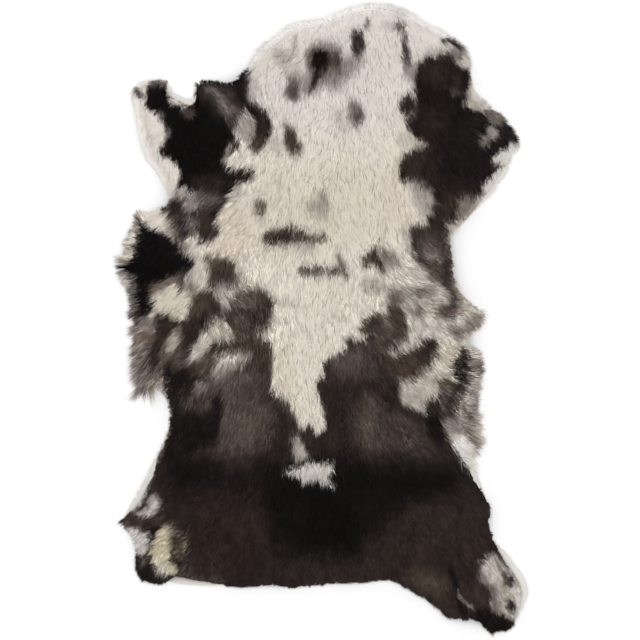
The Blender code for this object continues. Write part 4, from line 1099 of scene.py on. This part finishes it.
class Shader:
    """A material under construction."""

    def __init__(self, name):
        self.material = bpy.data.materials.new(name)
        self.material.use_nodes = True
        self.tree = self.material.node_tree
        self.tree.nodes.clear()
        self.principled = self.node("ShaderNodeBsdfPrincipled")
        self.node("ShaderNodeOutputMaterial", {}, {"Surface": self.principled.outputs[0]})

    def node(self, kind, settings=None, sockets=None):
        """A node with its settings made first, and then its sockets set or linked."""
        node = self.tree.nodes.new(kind)
        for name, value in (settings or {}).items():
            setattr(node, name, value)
        for name, value in (sockets or {}).items():
            self.put(node.inputs[name], value)
        return node

    def put(self, socket, value):
        """Set a socket, or link it where the value comes from another node."""
        if isinstance(value, Sum):
            value = value.socket
        if isinstance(value, bpy.types.NodeSocket):
            self.tree.links.new(value, socket)
        else:
            socket.default_value = value

    def set(self, **values):
        """Set sockets of the main shader, spaces in their names written as underscores."""
        for name, value in values.items():
            self.put(self.principled.inputs[name.replace("_", " ")], value)

    def noise(self, scale, detail=2.0, roughness=0.5):
        """A noise value over the object."""
        place = self.node("ShaderNodeTexCoord").outputs["Object"]
        node = self.node("ShaderNodeTexNoise", {}, {
            "Vector": place, "Scale": scale, "Detail": detail, "Roughness": roughness})
        return Sum(self, node.outputs[0])

    def coat_tint(self, factor):
        """The coat's colour, made brighter or darker."""
        tint = self.node("ShaderNodeAttribute", {"attribute_name": COAT}).outputs["Color"]
        node = self.node("ShaderNodeVectorMath", {"operation": "SCALE"}, {0: tint, "Scale": factor})
        return node.outputs[0]

    def bump(self, height, strength, distance):
        """A bumped normal."""
        node = self.node("ShaderNodeBump", {}, {"Height": height, "Strength": strength, "Distance": distance})
        return node.outputs[0]


def wool_material():
    """Wool strands, coloured by the coat."""
    shader = Shader("wool")
    shader.set(
        Base_Color=shader.coat_tint(0.98 + 0.04 * shader.noise(260.0)),
        Roughness=0.7,
        Specular_IOR_Level=0.03,
    )
    return shader.material


def undercoat_material():
    """Dense wool under the strands."""
    shader = Shader("undercoat")
    fuzz = shader.noise(420.0, detail=4.0, roughness=0.7)
    shader.set(
        Base_Color=shader.coat_tint(0.84 + 0.16 * fuzz),
        Roughness=0.95,
        Specular_IOR_Level=0.05,
        Normal=shader.bump(fuzz, strength=0.5, distance=1.5 * MM),
    )
    return shader.material


def skin_material(settings):
    """Tanned skin, pale and a little blotchy."""
    shader = Shader("skin")
    blotch = shader.noise(38.0, detail=3.0, roughness=0.6)
    tint = shader.node("ShaderNodeMix", {"data_type": "RGBA"}, {
        "Factor": blotch, 6: settings.blotch_colour[:], 7: settings.skin_colour[:]}).outputs[2]
    grain = shader.noise(160.0, detail=5.0, roughness=0.6)
    shader.set(
        Base_Color=tint,
        Roughness=0.62,
        Specular_IOR_Level=0.35,
        Normal=shader.bump(grain, strength=0.35, distance=1.2 * MM),
    )
    return shader.material


def floor_material(settings):
    """Plain pale floor."""
    shader = Shader("floor")
    shader.set(Base_Color=settings.floor_colour[:], Roughness=0.9, Specular_IOR_Level=0.1)
    return shader.material


# Pieces


def select_only(obj):
    """Make obj the one selected and active object."""
    bpy.ops.object.select_all(action="DESELECT")
    obj.select_set(True)
    bpy.context.view_layer.objects.active = obj


def vertex_places(mesh):
    """Places of a mesh's vertices, one row each."""
    places = np.empty(len(mesh.vertices) * 3)
    mesh.vertices.foreach_get("co", places)
    return places.reshape(-1, 3)


def bake_map(mesh):
    """A map seen from above, sheared so that upright faces have some width in it."""
    places = vertex_places(mesh)
    flat = np.stack([places[:, k] + MAP_SHEAR[k] * places[:, 2] for k in (0, 1)], axis=1)
    flat = (flat + FIELD_HALF[1] + MAP_MARGIN) / (2 * FIELD_HALF[1] + 3 * MAP_MARGIN)
    corners = np.empty(len(mesh.loops), np.int32)
    mesh.loops.foreach_get("vertex_index", corners)
    layer = mesh.uv_layers.new(name=BAKE_MAP)
    layer.uv.foreach_set("vector", flat[corners].ravel())


def finish_piece(obj):
    """Lay out a piece for baking, and hand it over to the frame."""
    bake_map(obj.data)
    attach(obj, BODY)
    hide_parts(NODE)


def paint(mesh, colours):
    """Keep one colour a vertex as the coat."""
    layer = mesh.color_attributes.new(COAT, "FLOAT_COLOR", "POINT")
    layer.data.foreach_set("color", np.concatenate((colours, np.ones((len(colours), 1))), axis=1).ravel())


def cut_sheet(name, outline, pitch):
    """A flat sheet of squares, cut to an outline."""
    wide, high = FIELD_HALF
    bpy.ops.mesh.primitive_grid_add(
        x_subdivisions=int(2 * wide / pitch), y_subdivisions=int(2 * high / pitch), size=2.0)
    obj = bpy.context.object
    obj.name = name
    obj.data.name = name
    mesh = bmesh.new()
    mesh.from_mesh(obj.data)
    mesh.verts.ensure_lookup_table()
    x = np.array([v.co.x for v in mesh.verts]) * wide
    y = np.array([v.co.y for v in mesh.verts]) * high
    gap, inside, _, near_x, near_y = line_distance(x, y, outline)
    moved = (gap < SNAP_INSIDE * pitch) | (~inside & (gap < SNAP_OUTSIDE * pitch))
    x = np.where(moved, near_x, x)
    y = np.where(moved, near_y, y)
    for vert, px, py in zip(mesh.verts, x, y):
        vert.co = (px, py, 0.0)
    outside = [mesh.verts[i] for i in np.nonzero(~inside & ~moved)[0]]
    bmesh.ops.delete(mesh, geom=outside, context="VERTS")
    bmesh.ops.remove_doubles(mesh, verts=mesh.verts, dist=MERGE_GAP)
    bmesh.ops.delete(mesh, geom=[f for f in mesh.faces if f.calc_area() < LEAST_FACE], context="FACES")
    bmesh.ops.delete(mesh, geom=[v for v in mesh.verts if not v.link_faces], context="VERTS")
    bmesh.ops.recalc_face_normals(mesh, faces=mesh.faces)
    if sum(f.normal.z for f in mesh.faces) < 0:
        bmesh.ops.reverse_faces(mesh, faces=mesh.faces)
    mesh.to_mesh(obj.data)
    mesh.free()
    return obj


def make_hide(pelt, settings):
    """The tanned skin, which shows at the rim where the wool ends early."""
    obj = cut_sheet("hide", pelt.rim, settings.skin_pitch)
    places = vertex_places(obj.data)
    x, y = places[:, 0], places[:, 1]
    gap = line_distance(x, y, pelt.rim)[0]
    bare = pelt.at(pelt.bare, x, y)
    curl = smoothstep(1.0 - gap / np.maximum(bare, LEAST_BARE)) * smoothstep(bare / CURL_FULL)
    ruffle = RUFFLE_MIDDLE + RUFFLE_SHARE * wander(x, y, RUFFLE_SIZE, RUFFLE_SEED)
    places[:, 2] = settings.skin_thickness / 2 + settings.curl * curl * ruffle
    obj.data.vertices.foreach_set("co", places.ravel())
    obj.data.materials.append(skin_material(settings))
    select_only(obj)
    solid = obj.modifiers.new("Solidify", "SOLIDIFY")
    solid.thickness = settings.skin_thickness
    solid.offset = 0.0
    bpy.ops.object.modifier_apply(modifier=solid.name)
    bpy.ops.object.shade_smooth_by_angle(angle=math.radians(SKIN_SMOOTH))
    places = vertex_places(obj.data)
    places[:, 2] = np.maximum(places[:, 2], 0.0)
    obj.data.vertices.foreach_set("co", places.ravel())
    finish_piece(obj)


def make_undercoat(pelt, settings):
    """The dense wool in which the strands stand."""
    outline = pelt.wool - pelt.out * UNDERCOAT_INSET * MM
    obj = cut_sheet("undercoat", outline, settings.undercoat_pitch)
    places = vertex_places(obj.data)
    x, y = places[:, 0], places[:, 1]
    gap = line_distance(x, y, outline)[0]
    base = settings.skin_thickness + UNDERCOAT_GAP
    sink = settings.sink * (1.0 - LESS_SINK * smoothstep((gap - DEEP_FROM) / DEEP_OVER))
    rise = np.maximum(pelt.at(pelt.height, x, y) - sink - base, LEAST_RISE)
    places[:, 2] = base + EDGE_HEIGHT + rise * smoothstep(gap / ROLL_WIDTH)
    obj.data.vertices.foreach_set("co", places.ravel())
    paint(obj.data, to_linear(coat(x, y)))
    obj.data.materials.append(undercoat_material())
    select_only(obj)
    bpy.ops.object.mode_set(mode="EDIT")
    bpy.ops.mesh.select_all(action="SELECT")
    bpy.ops.mesh.extrude_region_move(TRANSFORM_OT_translate={"value": (0, 0, -1.0)})
    bpy.ops.object.mode_set(mode="OBJECT")
    places = vertex_places(obj.data)
    places[:, 2] = np.where(places[:, 2] < 0, base, places[:, 2])
    obj.data.vertices.foreach_set("co", places.ravel())
    bpy.ops.object.mode_set(mode="EDIT")
    bpy.ops.mesh.select_all(action="SELECT")
    bpy.ops.mesh.normals_make_consistent(inside=False)
    bpy.ops.object.mode_set(mode="OBJECT")
    bpy.ops.object.shade_smooth_by_angle(angle=math.radians(WOOL_SMOOTH))
    finish_piece(obj)


def roots(pelt, settings, random):
    """Places in which strands stand, over the whole coat and more closely along its edge."""
    found = []
    for count, band in ((settings.strands, np.inf), (settings.edge_strands, EDGE_BAND)):
        places = np.empty((0, 2))
        while len(places) < count:
            tries = random.uniform(-1.0, 1.0, (count * 2, 2)) * FIELD_HALF
            depth = pelt.at(pelt.depth, tries[:, 0], tries[:, 1])
            places = np.concatenate((places, tries[(depth > ROOT_INSET) & (depth < band)]))
        found.append(places[:count])
    return np.concatenate(found)


def locks(x, y, pitch, random):
    """The lock that each strand belongs to: its number, where its middle stands, and how many there are."""
    count = int(2 * max(FIELD_HALF) / pitch) + LOCK_MARGIN
    centre_x = random.uniform(*LOCK_ROOM, (count, count))
    centre_y = random.uniform(*LOCK_ROOM, (count, count))
    u = x / pitch + count / 2
    v = y / pitch + count / 2
    best = np.full(x.shape, np.inf)
    number = np.zeros(x.shape, int)
    middle_x = np.zeros(x.shape)
    middle_y = np.zeros(x.shape)
    for di in (-1, 0, 1):
        for dj in (-1, 0, 1):
            i = u.astype(int) + di
            j = v.astype(int) + dj
            cx = i + centre_x[i, j]
            cy = j + centre_y[i, j]
            gap = (cx - u) ** 2 + (cy - v) ** 2
            closer = gap < best
            best[closer] = gap[closer]
            number[closer] = (i * count + j)[closer]
            middle_x[closer] = ((cx - count / 2) * pitch)[closer]
            middle_y[closer] = ((cy - count / 2) * pitch)[closer]
    return number, middle_x, middle_y, count * count


class Strands:
    """All strands of the wool: where they stand, which way they lie, and their tones from root to tip."""

    def __init__(self, pelt, settings):
        self.pelt = pelt
        self.settings = settings
        self.drawn = {}
        random = np.random.default_rng(settings.seed)
        self.x, self.y = roots(pelt, settings, random).T
        number, middle_x, middle_y, count = locks(self.x, self.y, settings.lock_pitch, random)
        self.draw("lock", random, count, number)
        number, _, _, count = locks(self.x, self.y, settings.wisp_pitch, random)
        self.draw("wisp", random, count, number)
        self.draw("strand", random, len(self.x), slice(None))
        self.off_x = self.x - middle_x
        self.off_y = self.y - middle_y
        self.lay_down()

    def draw(self, group, random, count, number):
        """Draw the numbers of each lock, wisp or strand."""
        values = random.uniform(-1.0, 1.0, (len(DRAWN[group]), count))[:, number]
        for name, value in zip(DRAWN[group], values):
            self.drawn[f"{group} {name}"] = value

    def spread(self, what):
        """A value of each strand, as strands differ."""
        value, *shares = SPREADS[what]
        for name, share in shares:
            value = value + share * self.drawn[name]
        return value

    def lay_down(self):
        """Turn each strand its way, and find its length, its loft and how far it gathers."""
        pelt, settings, x, y = self.pelt, self.settings, self.x, self.y
        lay_x, lay_y, length, loft, self.tips, self.grizzle = pelt.lay(x, y)
        depth = pelt.at(pelt.depth, x, y)
        sweep_x = pelt.at(pelt.sweep_x, x, y)
        sweep_y = pelt.at(pelt.sweep_y, x, y)
        laid = smoothstep(0.5 + LAID_OUT * (lay_x * sweep_x + lay_y * sweep_y))
        turn = EDGE_TURN + laid * np.maximum(EDGE_SHARE * length - EDGE_TURN, LEAST_EDGE)
        edge = smoothstep(1.0 - (depth + EDGE_SCATTER * self.spread("edge")) / turn)
        lay_x = lay_x * (1 - edge) + sweep_x * edge * EDGE_PULL
        lay_y = lay_y * (1 - edge) + sweep_y * edge * EDGE_PULL
        heading = np.arctan2(lay_y, lay_x)
        heading += math.radians(settings.drift) * sum(
            share * wander(x, y, size, seed) for share, size, seed in DRIFTS)
        long = smoothstep((length - LONG_FROM) / LONG_OVER)
        stray = math.radians(settings.stray) * (STRAY_SHORT + STRAY_LONG * long)
        heading += stray * self.spread("turn")
        self.cos = np.cos(heading)
        self.sin = np.sin(heading)
        outward = self.cos * sweep_x + self.sin * sweep_y
        self.length = self.trim(length * self.spread("length"), depth, outward)
        loft = np.maximum(loft * self.spread("loft"), LEAST_LOFT)
        self.loft = loft * (RIM_LOFT + (1.0 - RIM_LOFT) * smoothstep(depth / LOFT_DEPTH))
        self.gather = (settings.gather + GATHER_LONG * long) * self.spread("gather")

    def trim(self, length, depth, outward):
        """Lengths of the strands, so that they reach as far over the wool's edge as they should."""
        bare = self.pelt.at(self.pelt.bare, self.x, self.y)
        hang = self.pelt.at(self.pelt.lock, self.x, self.y)
        over = np.where(bare > LEAST_BARE, OVER_BARE, hang + OVER_HANG)
        limit = depth + over * self.spread("overhang")
        limit = np.maximum(limit, LEAST_STRAND) / np.maximum(outward, LEAST_OUTWARD)
        fringe = smoothstep(1.0 - depth / FRINGE_DEPTH) * (bare < LEAST_BARE)
        return np.minimum(length * (1 - fringe) + limit * fringe, limit)

    def along(self, share, reach, bend=0.0):
        """Places a reach along the strands and a bend aside, drawn in by their share of the gathering."""
        drawn_in = self.gather * share**GATHER_POWER
        return (self.x + reach * self.cos - bend * self.sin - drawn_in * self.off_x,
                self.y + reach * self.sin + bend * self.cos - drawn_in * self.off_y)

    def spine(self):
        """The middle of each strand's sections."""
        sink = self.settings.sink
        bow = self.settings.bow * self.spread("bow")
        lowest = FLOOR_GAP + CLEARANCE * (1 + self.spread("roll"))
        spine = []
        for share, _, lift, _ in SECTIONS:
            x, y = self.along(share, self.length * share, bow * self.length * share**2)
            ground = np.maximum(self.pelt.at(self.pelt.height, x, y) - sink, 0.0)
            z = np.maximum(ground + lift * self.loft + sink * TIP_RISE * share, lowest)
            spine.append(np.stack((x, y, z), axis=1))
        return np.array(spine)

    def sides(self):
        """The way to the side of each strand."""
        roll = math.radians(self.settings.roll) * self.spread("roll")
        return np.stack((-self.sin * np.cos(roll), self.cos * np.cos(roll), np.sin(roll)), axis=1)

    def widths(self):
        """How wide each strand is at its widest."""
        return self.settings.strand_width * self.spread("width")

    def tones(self):
        """Colours of each strand's sections."""
        pick = np.clip(self.spread("pick"), 0.0, 1.0)
        vary = self.spread("bright") * np.exp(self.grizzle * (self.spread("grizzle") - GRIZZLE_DROP))
        pale = to_linear(np.array(TONES[TIP_TONE]) / 255.0)
        tip_share = (self.tips * self.spread("tips"))[:, None]
        carried = self.settings.streak * self.spread("carry")
        tones = []
        for share, _, _, bright in SECTIONS:
            x, y = self.along(share, self.length * share + carried)
            tone = to_linear(coat(x, y, pick)) * vary[:, None]
            # Dark wool is lighter or darker lock by lock: its own tone, and painted sheen along the locks
            dark = 1.0 - smoothstep(tone.mean(axis=1) / DARK_BELOW)
            tone = tone * (1.0 + dark * self.spread("dark"))[:, None]
            tone = tone + (pale - tone) * tip_share * max(0.0, share - TIP_FROM) / (1.0 - TIP_FROM)
            # Painted shade at the root and painted light at the tip, from each section's brightness
            tones.append(tone * bright)
        return np.clip(np.array(tones), 0.0, 1.0)


def strand_mesh(name, spine, side, width, tones):
    """One mesh of ribbons that narrow to a point."""
    count = spine.shape[1]
    points = []
    colours = []
    for middle, tone, (_, wide, _, _) in zip(spine, tones, SECTIONS):
        if wide:
            half = side * (width * wide / 2)[:, None]
            points += [middle - half, middle + half]
            colours += [tone, tone]
        else:
            points.append(middle)
            colours.append(tone)
    each = len(points)
    points = np.stack(points, axis=1).reshape(-1, 3)
    points[:, 2] = np.maximum(points[:, 2], LEAST_HEIGHT)
    colours = np.stack(colours, axis=1).reshape(-1, 3)
    corners = []
    sizes = []
    for i in range(len(SECTIONS) - 2):
        corners += [2 * i, 2 * i + 2, 2 * i + 3, 2 * i + 1]
        sizes.append(4)
    corners += [each - 3, each - 1, each - 2]
    sizes.append(3)
    corners = (np.array(corners)[None, :] + each * np.arange(count)[:, None]).ravel().astype(np.int32)
    sizes = np.tile(np.array(sizes, np.int32), count)
    starts = np.concatenate(([0], np.cumsum(sizes)[:-1])).astype(np.int32)
    mesh = bpy.data.meshes.new(name)
    mesh.vertices.add(len(points))
    mesh.vertices.foreach_set("co", points.ravel())
    mesh.loops.add(len(corners))
    mesh.loops.foreach_set("vertex_index", corners)
    mesh.polygons.add(len(sizes))
    mesh.polygons.foreach_set("loop_start", starts)
    mesh.polygons.foreach_set("use_smooth", np.ones(len(sizes), bool))
    mesh.update(calc_edges=True)
    paint(mesh, colours)
    return mesh


def make_wool(pelt, settings):
    """The strands, one piece for each band of the coat."""
    material = wool_material()
    strands = Strands(pelt, settings)
    spine = strands.spine()
    side = strands.sides()
    width = strands.widths()
    tones = strands.tones()
    made = []
    for name, low, high in BANDS:
        inside = (spine[0, :, 1] >= low * MM) & (spine[0, :, 1] < high * MM)
        mesh = strand_mesh(name, spine[:, inside], side[inside], width[inside], tones[:, inside])
        mesh.materials.append(material)
        obj = bpy.data.objects.new(name, mesh)
        bpy.context.collection.objects.link(obj)
        finish_piece(obj)
        made.append(obj)
    return made


# Add-on


class SheepskinSettings(bpy.types.PropertyGroup):
    """Sizes, counts and colours of the sheepskin."""

    skin_thickness: bpy.props.FloatProperty(
        name="Skin thickness", description="Thickness of the tanned skin", default=2.0 * MM, unit="LENGTH")
    skin_pitch: bpy.props.FloatProperty(
        name="Skin pitch", description="Size of the skin's faces", default=6.5 * MM, unit="LENGTH")
    curl: bpy.props.FloatProperty(
        name="Curl", description="How far the bare edge of the skin curls up", default=4.0 * MM, unit="LENGTH")
    undercoat_pitch: bpy.props.FloatProperty(
        name="Undercoat pitch", description="Size of the undercoat's faces", default=6.5 * MM, unit="LENGTH")
    sink: bpy.props.FloatProperty(
        name="Sink", description="How far the undercoat lies under the top of the pile", default=4.0 * MM,
        unit="LENGTH")
    strands: bpy.props.IntProperty(
        name="Strands", description="Number of strands over the whole coat", default=232000)
    edge_strands: bpy.props.IntProperty(
        name="Edge strands", description="Number of further strands along the edge", default=24000)
    strand_width: bpy.props.FloatProperty(
        name="Strand width", description="Width of a strand", default=1.0 * MM, unit="LENGTH")
    lock_pitch: bpy.props.FloatProperty(
        name="Lock pitch", description="Distance between locks of wool", default=9.0 * MM, unit="LENGTH")
    gather: bpy.props.FloatProperty(
        name="Gather", description="How much the strands of a lock meet at its tip", default=0.18,
        subtype="FACTOR")
    drift: bpy.props.FloatProperty(
        name="Drift", description="Slow turns of the lay, in degrees", default=16.0)
    stray: bpy.props.FloatProperty(
        name="Stray", description="Turn of a lock from its neighbours, in degrees", default=17.0)
    roll: bpy.props.FloatProperty(
        name="Roll", description="Roll of a strand about its length, in degrees", default=8.0)
    wisp_pitch: bpy.props.FloatProperty(
        name="Wisp pitch", description="Distance between the wisps of a lock", default=3.6 * MM, unit="LENGTH")
    bow: bpy.props.FloatProperty(
        name="Bow", description="How far a wisp bends to a side, as a share of its length", default=0.24,
        subtype="FACTOR")
    streak: bpy.props.FloatProperty(
        name="Streak", description="How far a wisp carries its tone over the edge of a marking",
        default=6.0 * MM, unit="LENGTH")
    seed: bpy.props.IntProperty(name="Seed", description="Start of the random numbers", default=7)
    skin_colour: bpy.props.FloatVectorProperty(
        name="Skin", description="Colour of the tanned skin", subtype="COLOR", size=4, min=0.0, max=1.0,
        default=(0.78, 0.76, 0.73, 1.0))
    blotch_colour: bpy.props.FloatVectorProperty(
        name="Blotches", description="Colour of the blotches on the tanned skin", subtype="COLOR", size=4,
        min=0.0, max=1.0, default=(0.66, 0.63, 0.58, 1.0))
    floor_colour: bpy.props.FloatVectorProperty(
        name="Floor", description="Colour of the floor", subtype="COLOR", size=4, min=0.0, max=1.0,
        default=(0.93, 0.93, 0.93, 1.0))


class OBJECT_OT_sheepskin_hide(bpy.types.Operator):
    """Make the tanned skin."""

    bl_idname = "object.sheepskin_hide"
    bl_label = "Hide"

    def execute(self, context):
        make_hide(Pelt(), context.scene.sheepskin)
        return {"FINISHED"}


class OBJECT_OT_sheepskin_undercoat(bpy.types.Operator):
    """Make the dense wool in which the strands stand."""

    bl_idname = "object.sheepskin_undercoat"
    bl_label = "Undercoat"

    def execute(self, context):
        make_undercoat(Pelt(), context.scene.sheepskin)
        return {"FINISHED"}


class OBJECT_OT_sheepskin_wool(bpy.types.Operator):
    bl_idname = "object.sheepskin_wool"
    bl_label = "Wool"

    def execute(self, context):
        pelt = Pelt()
        wool = make_wool(pelt, context.scene.sheepskin)
        return {"FINISHED"}


class OBJECT_OT_sheepskin_stage(bpy.types.Operator):
    """Make the floor, the lights and the camera."""

    bl_idname = "object.sheepskin_stage"
    bl_label = "Stage"

    def execute(self, context):
        scene = context.scene
        bpy.ops.mesh.primitive_plane_add(size=FLOOR_SIZE, location=(0, 0, 0))
        floor = context.object
        floor.name = "floor"
        floor.data.materials.append(floor_material(scene.sheepskin))

        world = bpy.data.worlds.new("studio")
        scene.world = world
        world.use_nodes = True
        back = world.node_tree.nodes["Background"]
        back.inputs["Color"].default_value = (1.0, 1.0, 1.0, 1.0)
        back.inputs["Strength"].default_value = DAYLIGHT
        for name, place, size, power in LAMPS:
            bpy.ops.object.light_add(type="AREA", location=place)
            light = context.object
            light.name = name
            light.data.shape = "SQUARE"
            light.data.size = size
            light.data.energy = power
            light.rotation_euler = (-Vector(place)).to_track_quat("-Z", "Y").to_euler()
        bpy.ops.object.camera_add(location=(*PHOTO_CENTRE, CAMERA_HEIGHT), rotation=(0, 0, 0))
        camera = context.object
        camera.data.sensor_width = SENSOR
        camera.data.lens = SENSOR * CAMERA_HEIGHT / PHOTO_WIDTH
        camera.data.dof.use_dof = False
        scene.camera = camera
        scene.view_settings.view_transform = "Standard"
        scene.view_settings.look = "None"
        return {"FINISHED"}


class VIEW3D_PT_sheepskin(bpy.types.Panel):
    """The sheepskin's settings and its steps."""

    bl_label = "Sheepskin"
    bl_space_type = "VIEW_3D"
    bl_region_type = "UI"
    bl_category = "Sheepskin"

    def draw(self, context):
        for name in SheepskinSettings.__annotations__:
            self.layout.prop(context.scene.sheepskin, name)
        for step in STEPS:
            self.layout.operator(step.bl_idname)


STEPS = (
    OBJECT_OT_sheepskin_hide,
    OBJECT_OT_sheepskin_undercoat,
    OBJECT_OT_sheepskin_wool,
    OBJECT_OT_sheepskin_stage,
)
CLASSES = (SheepskinSettings,) + STEPS + (VIEW3D_PT_sheepskin,)


def register():
    """Add the classes and the scene's settings."""
    for each in CLASSES:
        bpy.utils.register_class(each)
    bpy.types.Scene.sheepskin = bpy.props.PointerProperty(type=SheepskinSettings)


def unregister():
    """Remove what register() added."""
    del bpy.types.Scene.sheepskin
    for each in reversed(CLASSES):
        bpy.utils.unregister_class(each)


def main():
    """Build everything in order."""
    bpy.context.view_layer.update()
    register()
    bpy.ops.object.sheepskin_hide()
    bpy.ops.object.sheepskin_undercoat()
    bpy.ops.object.sheepskin_wool()
    bpy.ops.object.sheepskin_stage()


if __name__ == "__main__":
    main()
